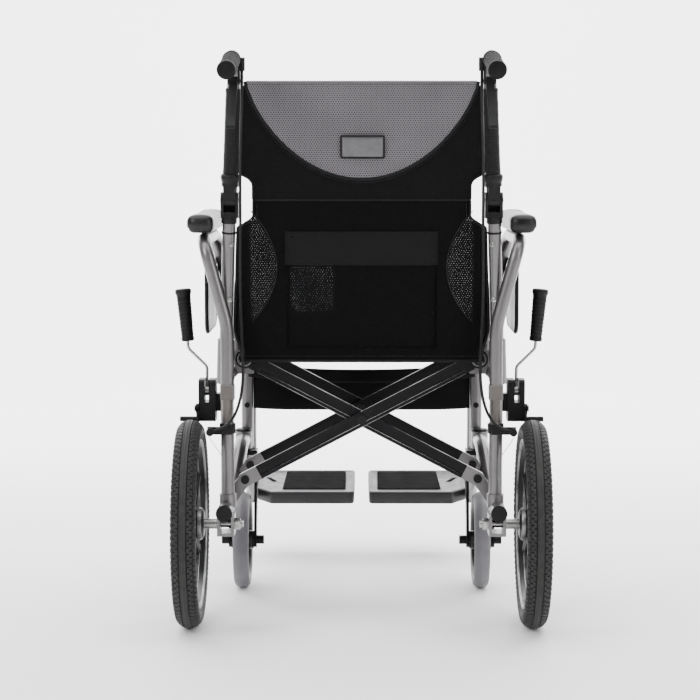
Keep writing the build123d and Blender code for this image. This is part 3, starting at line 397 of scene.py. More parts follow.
def tube(name, points, radius, material, ring=14, per=8, smooth_path=True, flat=1.0):
    """A round bar (or band, when flat is below 1) along a smooth line through control points."""
    curve = bpy.data.curves.new(name + "_line", "CURVE")
    curve.dimensions = "3D"
    curve.resolution_u = per
    spline = curve.splines.new("NURBS" if smooth_path else "POLY")
    spline.points.add(len(points) - 1)
    for p, q in zip(spline.points, points):
        p.co = (*q, 1)
    if smooth_path:
        spline.order_u = 3
        spline.use_endpoint_u = True
    ob = bpy.data.objects.new(name + "_line", curve)
    bpy.context.scene.collection.objects.link(ob)
    bpy.context.view_layer.update()
    line = bpy.data.meshes.new_from_object(ob)
    pts = [v.co.copy() for v in line.vertices]
    bpy.data.objects.remove(ob)
    verts, faces, uv = [], [], []
    tangent = (pts[1] - pts[0]).normalized()
    normal = tangent.orthogonal().normalized()
    run = 0.0
    for i, p in enumerate(pts):
        t = (pts[min(i + 1, len(pts) - 1)] - pts[max(i - 1, 0)]).normalized()
        normal = (normal - t * normal.dot(t)).normalized()
        side = t.cross(normal)
        run += (p - pts[i - 1]).length if i else 0
        for k in range(ring):
            a = 2 * pi * k / ring
            verts.append(p + (normal * cos(a) + side * sin(a) * flat) * radius)
            uv.append((a * radius, run))
    for i in range(len(pts) - 1):
        for k in range(ring):
            j = (k + 1) % ring
            faces.append((i * ring + k, i * ring + j, (i + 1) * ring + j, (i + 1) * ring + k))
    faces.append(tuple(range(ring - 1, -1, -1)))
    faces.append(tuple(len(verts) - ring + k for k in range(ring)))
    return finish_mesh(name, verts, faces, material, uv)


EDGE_SHARE = 0.35                   # a sheet's thickness at its edge, as a share of the rest


def slab(name, rows, thickness, material, uv=None):
    """A sheet with thickness from a grid of points, rows[i][k]."""
    g = np.array([[tuple(p) for p in row] for row in rows])
    nu, nv = g.shape[:2]
    du = np.gradient(g, axis=0)
    dv = np.gradient(g, axis=1)
    nrm = np.cross(du, dv)
    nrm /= np.linalg.norm(nrm, axis=2, keepdims=True) + 1e-12
    half = np.full((nu, nv, 1), thickness / 2)
    half[[0, -1], :] *= EDGE_SHARE
    half[1:-1, [0, -1]] *= EDGE_SHARE
    top, bottom = g + nrm * half, g - nrm * half
    verts = np.concatenate([top.reshape(-1, 3), bottom.reshape(-1, 3)])
    off = nu * nv
    faces = []
    for i in range(nu - 1):
        for k in range(nv - 1):
            a, b, c, d = i * nv + k, (i + 1) * nv + k, (i + 1) * nv + k + 1, i * nv + k + 1
            faces.append((a, b, c, d))
            faces.append((d + off, c + off, b + off, a + off))
    edge = [i * nv for i in range(nu)] + [(nu - 1) * nv + k for k in range(1, nv)] \
        + [i * nv + nv - 1 for i in range(nu - 2, -1, -1)] + [k for k in range(nv - 2, 0, -1)]
    for a, b in zip(edge, edge[1:] + edge[:1]):
        faces.append((b, a, a + off, b + off))
    if uv is None:
        lu = np.concatenate([[0], np.cumsum(np.linalg.norm(np.diff(g[:, nv // 2], axis=0), axis=1))])
        lv = np.concatenate([[0], np.cumsum(np.linalg.norm(np.diff(g[nu // 2], axis=0), axis=1))])
        uv = [(float(lu[i]), float(lv[k])) for i in range(nu) for k in range(nv)]
    uv = list(uv) + list(uv)
    return finish_mesh(name, verts, faces, material, uv)


def sheet_of(name, us, vs, place, thickness, material):
    """A sheet over two measures: place(u, v) gives a point of it and the point's UV."""
    spots = [[place(u, v) for v in vs] for u in us]
    return slab(name, [[p for p, _ in col] for col in spots], thickness, material,
                [uv for col in spots for _, uv in col])


def settle(ob, body):
    """Lets a piece ride a body."""
    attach(ob, body)
    return ob


def use(node, material):
    """Gives a CAD node its material."""
    me = nodes[node].data
    me.materials.clear()
    me.materials.append(M[material])
    me.polygons.foreach_set("use_smooth", [True] * len(me.polygons))
    me.set_sharp_from_angle(angle=radians(28))


for side in ("left_", "right_"):
    for node, key in {
        "side_frame": "silver", "frame_fittings": "plastic", "rear_axle": "zinc", "rear_wheel": "wheel",
        "rear_tyre": "tyre", "caster_fork": "brace", "caster_axle": "plastic", "caster_tyre": "grey_tyre",
        "caster_wheel": "wheel", "armrest_tube": "silver", "arm_pad": "pad", "side_guard": "guard",
        "park_brake_housing": "plastic", "park_brake_lever": "zinc", "park_brake_bar": "plastic",
        "lower_cane": "silver", "back_hinge": "plastic", "hinge_knob": "plastic", "upper_cane": "silver",
        "hand_grip": "grip", "lever_clamp": "plastic", "brake_lever": "plastic", "brake_cable": "cable",
        "footrest_hanger": "silver", "footplate": "plate",
    }.items():
        use(side + node, key)
    use(side + "seat_rail", "silver")
for node, key in {"brace_arms_from_left": "brace", "brace_arms_from_right": "brace", "brace_bolts": "plastic",
                  "seat_sling": "nylon", "back_lower_panel": "mesh_black", "back_upper_panel": "mesh_grey",
                  "back_pocket": "nylon", "calf_strap": "nylon"}.items():
    use(node, key)

# ---- the object's own sizes, in millimetres
PIVOT_X, PIVOT_Z, SEAT_RAIL_Z = 197.0, 241.0, 446.0
HINGE = (218.0, 5.0, 714.0)
LEAN = tan(LEAN_ANGLE)
GRIP_END = (210.0, -200.0, 918.0)
BEND = (206.5, 5.0 - 238.0 * LEAN, 952.0)
WHEEL_X, WHEEL_R, CASTER_X, CASTER_Y, CASTER_R = 286.0, 174.0, 217.0, 330.0, 87.5
CLOTH_LOW, CLOTH_TOP = 442.0, 908.0


def back_y(z):
    """Depth of the canes' middle plane at a height."""
    return HINGE[1] + (HINGE[2] - z) * LEAN


def cane_x(z):
    """Middle of the cane across the chair at a height."""
    if z < HINGE[2]:
        return HINGE[0] + (HINGE[2] - z) * 0.03885
    return HINGE[0] + (BEND[0] - HINGE[0]) * (z - HINGE[2]) / (BEND[2] - HINGE[2])


def cane(s, z):
    """The middle of one side's cane at a height, as a place in the row frame."""
    return at(s * cane_x(z), back_y(z), z)


def handle(y):
    """Middle of the handle's straight end at a place along the chair."""
    t = (y - BEND[1]) / (GRIP_END[1] - BEND[1])
    return tuple(a + (b - a) * t for a, b in zip(BEND, GRIP_END))


def smoothstep(a, b, v):
    t = np.clip((v - a) / (b - a), 0, 1)
    return t * t * (3 - 2 * t)


def gather(ob, body):
    """A piece that rides a body, with its own copy of its mesh."""
    settle(ob, body)
    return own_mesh(ob)


def folded(ob, body):
    """A piece of the back's cover, riding with the canes that hold it."""
    return gather(ob, body)


def wrinkle(x, z, seed):
    """Gentle creases of stretched cloth, in millimetres."""
    w = 0.0
    for i in range(5):
        a = sin(seed * 12.9 + i * 4.1) * 0.9
        f = 0.018 + 0.011 * i
        w += sin((x * cos(a) + z * sin(a)) * f + seed * 3.3 + i * 2.4) * (0.8 / (1 + i * 0.6))
    return w


# ---- wheels
TREAD_DEPTH, BLOCK_PITCH = 1.7, 11.2


def tread_height(x, run):
    """Relief of the rear tyre: a smooth crown with fine grooves, and staggered blocks at both sides."""
    ax = np.abs(x)
    h = np.where(ax < 5.4, TREAD_DEPTH, 0.0)
    h -= np.where(np.abs(ax - 1.9) < 0.5, 0.6, 0.0)
    for row, (lo, hi) in enumerate(((6.4, 9.9), (10.9, 14.4), (15.4, 19.4))):
        inside = (ax >= lo) & (ax <= hi)
        phase = (run / BLOCK_PITCH + 0.5 * row + 0.25 * (x > 0)) % 1.0
        h += np.where(inside & (phase < 0.72), TREAD_DEPTH - 0.15 * row, 0.0)
    return h


def rear_tyre(side, s):
    count, across = 780, 74
    bead = radians(200) / 1.42
    centre_r, rx, rr = WHEEL_R - 18.9, 20.2, 17.1
    turn = np.linspace(-bead, bead, across)
    x = rx * np.sin(turn)
    r = centre_r + rr * np.cos(turn)
    ang = np.linspace(0, 2 * pi, count, endpoint=False)
    X, A = np.meshgrid(x, ang)
    R, _ = np.meshgrid(r, ang)
    T, _ = np.meshgrid(turn, ang)
    tread = np.where(np.abs(T) < radians(84), tread_height(X, A * WHEEL_R), 0.0)
    wall = np.where((np.abs(np.degrees(T)) > 96) & (np.abs(np.degrees(T)) < 100), 0.5, 0.0)
    lift = tread + wall
    X = X + lift * np.sin(T)
    R = R + lift * np.cos(T)
    Y, Z = R * np.cos(A), R * np.sin(A)
    verts = np.stack([(X + s * WHEEL_X) / 1000, Y / 1000 + Y0, (Z + WHEEL_R) / 1000], axis=2).reshape(-1, 3)
    i, k = np.meshgrid(np.arange(count), np.arange(across - 1), indexing="ij")
    j = (i + 1) % count
    near, far = i * across + k, j * across + k
    f = np.stack([near, near + 1, far + 1, far], axis=2).reshape(-1, 4)
    # this relief is also the mask for the painted shade in the tyre's grooves
    relief = np.where(tread > 0, tread, 1.0 * (np.abs(T) > 1.5)) / TREAD_DEPTH
    uv = np.stack([A / (2 * pi), relief], axis=2)
    ob = finish_mesh(side + "_tyre", verts.tolist(), f.tolist(), "tyre", uv.reshape(-1, 2).tolist())
    sharp(ob, 32)
    settle(ob, side + "_rear_wheel")
    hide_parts(side + "_rear_tyre")


def both_ways(half):
    """A profile and its mirror image, joined at the half's last point."""
    return half + [(r, -h) for r, h in half[-2::-1]]


def rear_rim(side, s):
    centre = at(s * WHEEL_X, 0, WHEEL_R)
    profile = both_ways([(139.5, -14.3), (141.6, -16.0), (141.4, -17.6), (138.6, -17.8), (135.5, -16.4),
                         (131.5, -12.4), (126.5, -7.4), (124.6, -6.4), (124.2, 0)])
    ob = lathe(side + "_rim", profile, centre, (1, 0, 0), "rim", 128, 32)
    settle(ob, side + "_rear_wheel")
    hub = lathe(side + "_hub_flange", [(9.2, 20.5), (9.2, 23.4), (20, 23.4), (21, 22.6), (26.5, 19.5),
                                       (27.5, 17.5), (27.5, 13), (24.2, 12.5)],
                centre, (-s, 0, 0), "rim", 64, 32)
    settle(hub, side + "_rear_wheel")
    cap = lathe(side + "_hub_cap", [(0.01, 28.6), (8, 28.2), (14, 26.0), (18, 22.6), (23.5, 22.4), (24.6, 21.5),
                                    (24.6, 16)],
                centre, (s, 0, 0), "wheel", 48, 32)
    settle(cap, side + "_rear_wheel")
    d = Vector((0, sin(0.5), cos(0.5)))
    valve = lathe(side + "_valve",
                  [(0.01, 0), (2.6, 0), (2.6, 10), (3.1, 10.5), (3.1, 17), (2.2, 18), (0.01, 18)],
                  centre + d * 0.1075, d, "plastic", 16, 35)
    settle(valve, side + "_rear_wheel")
    # raised ribs down the middle of the six spokes
    verts, faces = [], []
    for n in range(6):
        a = pi * n / 3
        out = Vector((0, -sin(a), cos(a)))
        across = Vector((0, cos(a), sin(a)))
        for face in (-1, 1):
            base = len(verts)
            for r, half, lift in ((22, 7.6, 9.5), (60, 5.2, 8.2), (100, 5.6, 8.2), (127, 7.8, 9.0)):
                for w, x in ((-half, 5.6), (-half * 0.62, lift), (half * 0.62, lift), (half, 5.6)):
                    verts.append(centre + (out * r + across * w + Vector((face * x, 0, 0))) / 1000)
            for q in range(3):
                for c in range(3):
                    p = base + q * 4 + c
                    faces.append((p, p + 1, p + 5, p + 4) if face > 0 else (p, p + 4, p + 5, p + 1))
    ribs = finish_mesh(side + "_spoke_ribs", verts, faces, "wheel", smooth=False)
    settle(ribs, side + "_rear_wheel")


def caster_tyre(side, s):
    c = at(s * CASTER_X, CASTER_Y, CASTER_R)
    turn = np.radians(np.linspace(-142, 142, 44))
    profile = [(CASTER_R - 9.4 + 9.25 * cos(t) + (0.25 if abs(t) < 0.18 else 0),
                14.3 * sin(t) * (1 - 0.05 * cos(t))) for t in turn]
    ob = lathe(side + "_caster_tread", profile, c, (1, 0, 0), "grey_tyre", 128, 50)
    settle(ob, side + "_caster")
    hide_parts(side + "_caster_tyre")
    rim = both_ways([(70.5, -11.6), (71.6, -12.4), (70.2, -13.0), (67.5, -12.0), (63, -6.0), (60.6, -4.4),
                     (60.4, 0)])
    ring = lathe(side + "_caster_rim", rim, c, (1, 0, 0), "wheel", 96, 35)
    settle(ring, side + "_caster")
    for e in (-1, 1):
        bush = lathe(f"{side}_caster_bush_{'in' if e < 0 else 'out'}",
                     [(4.4, 20.3), (12.5, 20.3), (14.2, 19), (16.6, 16), (17.2, 12), (17.2, 8)],
                     c, (e, 0, 0), "wheel", 40, 35)
        settle(bush, side + "_caster")


# ---- grips, pads and levers
def hand_grip(side, s):
    start, end = Vector(at(*handle(-96))), Vector(at(*GRIP_END))
    start.x, end.x = s * start.x, s * end.x
    length = (end - start).length * 1000
    prof = [(11.05, 0.0), (14.6, 0.0), (15.4, 0.8), (15.4, 3.2), (14.4, 4.2)]
    h = 5.2
    while h < length - 15:
        prof += [(r, h + up) for r, up in ((13.3, 0), (13.5, 0.3), (14.35, 0.9), (14.35, 2.5), (13.5, 3.1),
                                           (13.3, 3.4))]
        h += 3.9
    prof += [(13.6, length - 11), (14.9, length - 9.6), (15.3, length - 5), (14.6, length - 1.8),
             (12.5, length - 0.4), (8, length), (0.01, length)]
    ob = lathe(side + "_grip", prof, start, end - start, "grip", 56, 42)
    settle(ob, side + "_upper_back")
    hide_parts(side + "_hand_grip")


def arm_pad(side, s):
    """A moulded foam pad: a crowned top, a flat underside and rounded ends."""
    sections, ring = 54, 36
    verts, faces, uv = [], [], []
    cx, w, low, h, rear_y, length = 267.0, 22.5, 659.0, 33.6, -5, 286
    for i in range(sections + 1):
        t = i / sections
        y = rear_y + length * t
        end = min(t, 1 - t) * length
        e = sqrt(max(0.0, 1 - max(0.0, 1 - end / 13.0) ** 2))
        rise = 3.0 * smoothstep(190, 281, y)
        for k in range(ring):
            a = 2 * pi * k / ring
            ca, sa = cos(a), sin(a)
            px = copysign(abs(ca) ** 0.55, ca) * w
            pz = copysign(abs(sa) ** 0.55, sa) * h / 2
            if sa > 0:
                pz += 1.4 * (1 - (px / w) ** 2) - 3.6 + rise * 0.9
            if sa < -0.3 and ca > 0.3:
                px -= 3.2 * (ca - 0.3)
            verts.append(at(s * (cx + px * (0.55 + 0.45 * e)), y, low + h / 2 + pz * (0.35 + 0.65 * e)))
            uv.append((a * 0.02, y / 1000))
    for i in range(sections):
        for k in range(ring):
            j = (k + 1) % ring
            faces.append((i * ring + k, i * ring + j, (i + 1) * ring + j, (i + 1) * ring + k))
    faces += [tuple(range(ring))[::-1], tuple(sections * ring + k for k in range(ring))]
    ob = finish_mesh(side + "_pad", verts, facing(faces, -s), "pad", uv)
    sharp(ob, 60)
    settle(ob, side + "_armrest")
    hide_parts(side + "_arm_pad")


def park_grip(side, s):
    """A moulded lever grip: smooth, with shallow ribs, a flared foot and a domed top."""
    base, top = at(s * 297, 107, 473), at(s * 305, 107, 560)
    run = (top - base).length * 1000
    prof = [(3.0, -1.4), (9.6, -1.4), (11.0, 0.4), (11.2, 4.6), (10.3, 6.0)]
    h = 9.0
    while h < run - 15:
        r = 10.1 + 2.2 * h / run
        prof += [(r, h), (r + 0.42, h + 0.8), (r + 0.42, h + 2.6), (r, h + 3.4)]
        h += 6.4
    prof += [(12.4, run - 9), (13.6, run - 7), (14.0, run - 4.2), (13.7, run - 1.4), (12.2, run + 0.6),
             (8, run + 1.0), (0.01, run + 1.1)]
    ob = lathe(side + "_park_grip", prof, base, top - base, "plastic", 40, 50)
    settle(ob, side + "_park_lever")


def hinge_dress(side, s):
    """The locking sleeve's flared head over the hinge, and the plate that closes the hinge's front."""
    base, top = cane(s, 726.5), cane(s, 757)
    prof = [(9.0, 0), (11.3, 0.2), (11.8, 2), (12.2, 9), (13.4, 14), (15.6, 20), (16.6, 24), (16.4, 27.5),
            (15.0, 29.6), (13.6, 30.6), (11.2, 31.0)]
    ob = lathe(side + "_knob_head", prof, base, top - base, "plastic", 56, 50)
    settle(ob, side + "_upper_back")
    x0, x1, y0, y1, z0, z1 = 207.6, 228.4, 18.4, 20.4, 686, 724
    corner = [(x, y, z) for x in (x0, x1) for y in (y0, y1) for z in (z0, z1)]
    faces = [(0, 1, 3, 2), (4, 6, 7, 5), (0, 4, 5, 1), (2, 3, 7, 6), (0, 2, 6, 4), (1, 5, 7, 3)]
    faces = facing(faces, s)
    plate = finish_mesh(side + "_hinge_plate", [at(s * x, y, z) for x, y, z in corner], faces, "plastic",
                        smooth=False)
    settle(plate, side + "_frame")
    tie = lathe(side + "_cable_tie", [(11.2, -1.7), (12.1, -1.6), (12.3, 0), (12.1, 1.6), (11.2, 1.7)],
                cane(s, 660), cane(s, 670) - cane(s, 650), "plastic", 40, 40)
    settle(tie, side + "_frame")


def collar(side, s):
    """Sleeve round the armrest's square collar, and the stub of tube that shows under it."""
    c = at(s * 223, 0, 0)
    half, verts, faces = 11.75, [], []
    for z, chamfer in ((383.2, 0.9), (384.2, 0.0), (406.8, 0.0), (407.8, 0.9)):
        for k in range(24):
            a = 2 * pi * (k + 0.5) / 24
            ca, sa = cos(a), sin(a)
            r = (half - chamfer) * min(1 / max(abs(ca), abs(sa)), 1.30)
            verts.append(c + Vector((ca * r, sa * r, z)) / 1000)
    for q in range(3):
        for k in range(24):
            j = (k + 1) % 24
            faces.append((q * 24 + k, q * 24 + j, (q + 1) * 24 + j, (q + 1) * 24 + k))
    ob = finish_mesh(side + "_collar", verts, faces, "collar")
    sharp(ob, 25)
    settle(ob, side + "_armrest")
    stub = lathe(side + "_stub", [(8.8, 345.2), (8.8, 382.8)], c, (0, 0, 1), "collar", 40, 35)
    settle(stub, side + "_frame")


def corner_loop(half_w, half_h, r, steps):
    """A closed line round a rectangle with round corners, back to its first point."""
    loop = []
    for n, (sx, sy) in enumerate(((1, 1), (-1, 1), (-1, -1), (1, -1))):
        for k in range(steps + 1):
            a = pi / 2 * (n + k / steps)
            loop.append((sx * (half_w - r) + r * cos(a), sy * (half_h - r) + r * sin(a)))
    return loop + loop[:1]


def guard_edge(side, s):
    """Black edging round the clothing guard."""
    pts = [at(s * 264, 202 + y, 544 + z) for y, z in corner_loop(102, 58, 22, 6)]
    ob = tube(side + "_guard_edge", pts, 0.0036, "plastic", ring=12, smooth_path=False)
    settle(ob, side + "_armrest")


def cable(side, s):
    route = [(192, -84, 922), (192.5, -78, 880), (195, -60, 830), (198, -38, 781), (199, -24, 729),
             (199.6, -12, 676), (200.6, -5, 622), (201.4, 4, 568), (200.4, 10, 514), (198, 9, 464),
             (197, 2, 418),
             (201, -9, 382), (212, -18, 353), (230, -20.5, 336), (251, -20.5, 331)]
    ob = tube(side + "_cable", [at(s * x, y, z) for x, y, z in route], 0.0025, "cable", ring=14, per=6)
    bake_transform(ob)
    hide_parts(side + "_brake_cable")
    wire = tube(side + "_wire", [at(s * 251, -20.5, 331), at(s * 257, -18, 336), at(s * 254, -14, 322),
                                 at(s * 240, -6, 300), at(s * 234, 0, 290)], 0.0006, "zinc", ring=8, per=8)
    settle(wire, side + "_frame")


def sleeve(side, s):
    """Woven sleeve of the back's cover round the upper cane."""
    base, top = cane(s, 757), cane(s, 896)
    run = (top - base).length * 1000
    prof = [(11.2, -0.5), (12.6, 0.0), (13.2, 2.0), (13.0, 6)] + \
           [(12.75 + 0.12 * sin(h * 0.33 + s), h) for h in np.linspace(10, run - 8, 24)] + \
           [(13.0, run - 5), (13.3, run - 2), (12.6, run), (11.2, run + 0.4)]
    ob = lathe(side + "_cane_sleeve", prof, base, top - base, "sleeve", 48, 45)
    settle(ob, side + "_upper_back")


def rounded(corners, n=6):
    """A closed outline: each corner is (x, y, radius)."""
    out = []
    for i, (x, y, r) in enumerate(corners):
        c = Vector((x, y))
        a = (Vector(corners[i - 1][:2]) - c).normalized()
        b = (Vector(corners[(i + 1) % len(corners)][:2]) - c).normalized()
        half = a.angle(b) / 2
        d = r / tan(half)
        p, q = c + a * d, c + b * d
        for k in range(n + 1):
            t = k / n
            out.append(p * (1 - t) ** 2 + c * 2 * t * (1 - t) + q * t ** 2)
    return out


def inset(outline, by):
    """The outline moved inwards by a distance (its corners run anticlockwise)."""
    out = []
    n = len(outline)
    for i, p in enumerate(outline):
        d = (outline[(i + 1) % n] - outline[i - 1]).normalized()
        out.append(p + Vector((-d.y, d.x)) * by)
    return out


def footplate(side, s):
    """The footplate: a rounded tray with chamfered outer corners, its barrel, ribbed insert and slot."""
    t = radians(8)
    origin = at(0, 590, 125)
    along, up = Vector((0, cos(t), sin(t))), Vector((0, -sin(t), cos(t)))

    def spot(x, a, h):
        return origin + Vector((s * x / 1000, 0, 0)) + along * (a / 1000) + up * ((10 + h) / 1000)

    edge = rounded([(14.5, -2.0, 9), (177, -2.5, 8), (204, 26, 5), (206, 130, 7), (178, 150.5, 8),
                    (13, 150.5, 10)])
    rings = [(2.6, -24.4), (1.0, -23.6), (0.0, -21.4), (0.0, -3.2), (0.7, -1.1), (2.2, 0.0), (7.0, 0.1),
             (8.2, -0.5)]
    verts = [spot(p.x, p.y, h) for by, h in rings for p in inset(edge, by)]
    n, m = len(edge), len(rings)
    faces = [(q * n + k, q * n + (k + 1) % n, (q + 1) * n + (k + 1) % n, (q + 1) * n + k)
             for q in range(m - 1) for k in range(n)]
    faces += [tuple(range(n - 1, -1, -1)), tuple((m - 1) * n + k for k in range(n))]
    faces = facing(faces, s)
    tray = finish_mesh(side + "_plate_tray", verts, faces, "plate")
    sharp(tray, 38)
    settle(tray, side + "_footplate")
    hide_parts(side + "_footplate")
    barrel = lathe(side + "_plate_barrel",
                   [(5.6, 24.5), (8.8, 24.5), (9.8, 25.5), (9.8, 148.5), (8.8, 150), (5.6, 150)],
                   spot(214, 0, -10), along, "plate", 40, 35)
    settle(barrel, side + "_footplate")
    rows = []
    for i in range(27):
        f = i / 26
        rows.append([spot(31 + f * 124 - (3 if f < 0.5 else 7) * (a - 17) / 118 * (f - 0.25), a,
                          0.4 + (0.5 if int((a - 17) / 2.4) % 2 else 0)) for a in np.linspace(17, 137, 121)])
    ob = slab(side + "_plate_tread", rows[::s], 0.0016, "tread")
    sharp(ob, 30)
    settle(ob, side + "_footplate")
    # painted shade: the slot is a dark sheet laid on the tray's top in place of an opening
    slot_rows = [[spot(x + (a - 84) * 0.5, a, -0.2) for a in np.linspace(70, 98, 6)]
                 for x in (174, 177, 180, 183)]
    hole = slab(side + "_plate_slot", slot_rows[::s], 0.0012, "tread")
    settle(hole, side + "_footplate")


SIDES = (("right", 1), ("left", -1))
for side, s in SIDES:
    for make in (rear_tyre, rear_rim, caster_tyre, hand_grip, arm_pad, park_grip, hinge_dress, collar,
                 guard_edge, cable, sleeve, footplate):
        make(side, s)


# ---- cloth
def fold_line(z):
    """Goes to zero at the height of the hinges, where the back folds along a straight seam."""
    return 1 - exp(-((z - HINGE[2]) / 26.0) ** 2)


def belly_y(x, z):
    """Depth of the stretched back's middle surface, which bellies out to the rear between the canes."""
    across = 1 - (x / 215) ** 2
    up = sin(pi * min(1, max(0, (z - CLOTH_LOW) / (CLOTH_TOP - CLOTH_LOW))))
    return back_y(z) - (5.0 * across * (0.55 + 0.45 * up) + wrinkle(x, z, CREASE_SEED) * 0.55) * fold_line(z)


def panel(name, z0, z1, width, material, rows, edge_pull):
    """A stretched cloth between the canes: width(z) is its half width."""
    def place(u, z):
        x = u * width(z)
        pull = edge_pull * exp(-((1 - abs(u)) / 0.07) ** 2) * sin(z * 0.11 + CREASE_SEED * 2)
        return at(x, belly_y(x, z) - pull, z), (x / 1000, z / 1000 / TILT)

    cols = 130
    us = [-1 + 2 * c / (cols - 1) for c in range(cols)]
    return sheet_of(name, us, np.linspace(z0, z1, rows), place, 0.0026, material)


def lower_width(z):
    w = cane_x(z) - 12.2 - 12 * (1 - smoothstep(455, 500, z))
    return w - (w - HINGE_WIDTH) * smoothstep(668, 684, z)


def upper_width(z):
    w = cane_x(z) - 11.4 - 9 * smoothstep(886, 908, z) ** 2
    return w - (w - HINGE_WIDTH) * (1 - smoothstep(744, 760, z))


CREASE_SEED = 1.3
HINGE_WIDTH = 181.0                  # half the cloth's width where it passes between the hinges
lower = panel("back_lower_cloth", CLOTH_LOW, 713.6, lower_width, "mesh_black", 96, 0.8)
folded(lower, "left_frame")
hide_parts("back_lower_panel")

upper = panel("back_upper_cloth", 714.4, CLOTH_TOP, upper_width, "back_upper", 70, 0.6)
folded(upper, "left_upper_back")
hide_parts("back_upper_panel")


def surface_y(x, z, front=False):
    """Depth of the stretched back's rear or front face."""
    return belly_y(x, z) + (1.4 if front else -1.4)


def piping(name, points, radius, body, material="webbing", front=False):
    """A flat binding along a line of (x, z) on the back's rear or front face."""
    lift = 0.3 if front else -0.3
    pts = [at(x, surface_y(x, z, front) + lift, z) for x, z in points]
    folded(tube(name, pts, radius / 1000, material, ring=10, per=4, flat=0.55), body)


def stitches(name, points, body):
    """A row of stitches along a line on the back's rear face."""
    pitch, length, radius, lift = 4.2, 2.8, 0.32, 0.35
    line = [Vector(at(x, surface_y(x, z) - lift, z)) for x, z in points]
    seg = [(b - a).length * 1000 for a, b in zip(line, line[1:])]
    total, verts, faces = sum(seg), [], []
    pos = 1.0
    while pos + length < total:
        ends = []
        for d in (pos, pos + length):
            k, rest = 0, d
            while rest > seg[k] and k < len(seg) - 1:
                rest -= seg[k]
                k += 1
            ends.append(line[k].lerp(line[k + 1], rest / seg[k]))
        t = (ends[1] - ends[0]).normalized()
        n = t.cross(Vector((0, 1, 0))).normalized()
        b = t.cross(n)
        base = len(verts)
        for q, e in enumerate((ends[0], ends[0].lerp(ends[1], 0.5), ends[1])):
            r = radius / 1000 * (1.0 if q == 1 else 0.55)
            up = Vector((0, -1, 0)) * (0.00025 if q == 1 else 0)
            for k in range(6):
                a = pi * k / 3
                verts.append(e + up + (n * cos(a) + b * sin(a)) * r)
        for q in (0, 6):
            for k in range(6):
                j = (k + 1) % 6
                faces.append(tuple(base + q + c for c in (k, j, 6 + j, 6 + k)))
        faces.append(tuple(base + k for k in range(5, -1, -1)))
        faces.append(tuple(base + 12 + k for k in range(6)))
        pos += pitch
    folded(finish_mesh(name, verts, faces, "thread"), body)


def yoke(grow, steps, skip=0):
    """The curved seam of the grey yoke from its left top corner to its right, moved outwards by grow."""
    line = []
    for k in range(skip - steps, steps - skip + 1):
        t = sin(pi / 2 * k / steps)
        line.append(((187.0 + grow) * t, 907 - (156.0 + grow) * max(0.0, 1 - t ** 2) ** (1 / 1.4)))
    return line


piping("yoke_band_rear", yoke(3.0, 26), 3.6, "left_upper_back")
piping("yoke_band_front", yoke(3.0, 26), 3.0, "left_upper_back", front=True)
stitches("yoke_stitches", yoke(8.5, 40, skip=1), "left_upper_back")
seam = tube("hinge_seam", [at(x, HINGE[1], HINGE[2]) for x in np.linspace(-180.5, 180.5, 20)], 0.0021,
            "webbing", ring=12, per=4)
folded(seam, "left_frame")
piping("top_hem", [(x, 906.5) for x in np.linspace(-187, 187, 24)], 2.4, "left_upper_back", "mesh_grey")
piping("bottom_hem", [(x, 444) for x in np.linspace(-199, 199, 24)], 3.2, "left_frame")
stitches("bottom_stitches", [(x, 452) for x in np.linspace(-196, 196, 60)], "left_frame")
for name, s in SIDES:
    piping(name + "_lower_edge", [(s * (lower_width(z) - 1.5), z) for z in np.linspace(446, 712, 30)], 2.2,
           "left_frame")
    stitches(name + "_lower_stitches", [(s * (lower_width(z) - 8), z) for z in np.linspace(450, 708, 60)],
             "left_frame")
    piping(name + "_upper_edge", [(s * (upper_width(z) - 1.2), z) for z in np.linspace(716, 904, 24)], 2.0,
           "left_upper_back")
    piping(name + "_window_edge", [(s * (190 - 49 * (1 - (h / 100) ** 2)), 603 + h)
                                   for h in range(-93, 94, 6)], 1.0, "left_frame")


def pocket():
    """The back's pocket, and the flap that closes its top."""
    x1, z0, z1 = 124.0, 466.0, 656.0

    def bag(x, z):
        edge = min(x + x1, x1 - x, z - z0, (z1 - z) * 1.2 + 4)
        puff = 7.2 * (1 - exp(-edge / 11.0))
        fold = 1.3 * sin(x * 0.045 + z * 0.02) + 0.9 * sin(x * 0.02 - z * 0.06 + 1)
        return at(x, surface_y(x, z) - 0.7 - puff - fold * min(1, edge / 30), z), (x / 1000, z / 1000 / TILT)

    ob = sheet_of("pocket_cloth", np.linspace(-x1, x1, 70), np.linspace(z0, z1, 60), bag, 0.0014, "pocket_mesh")
    folded(ob, "left_frame")
    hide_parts("back_pocket")
    half = 127.0

    def lid(x, z):
        edge = max(0.3, half - abs(x))
        puff = 9.0 * (1 - exp(-edge / 9.0)) * smoothstep(664, 640, z)
        curl = 1.4 * sin(x * 0.05 + 0.7) * smoothstep(640, 606, z)
        return at(x, surface_y(x, z) - 1.0 - puff - curl, z), (x / 1000, z / 1000)

    flap = sheet_of("pocket_flap", np.linspace(-half, half, 70), np.linspace(606, 662, 22), lid, 0.0018,
                    "nylon")
    folded(flap, "left_frame")


pocket()


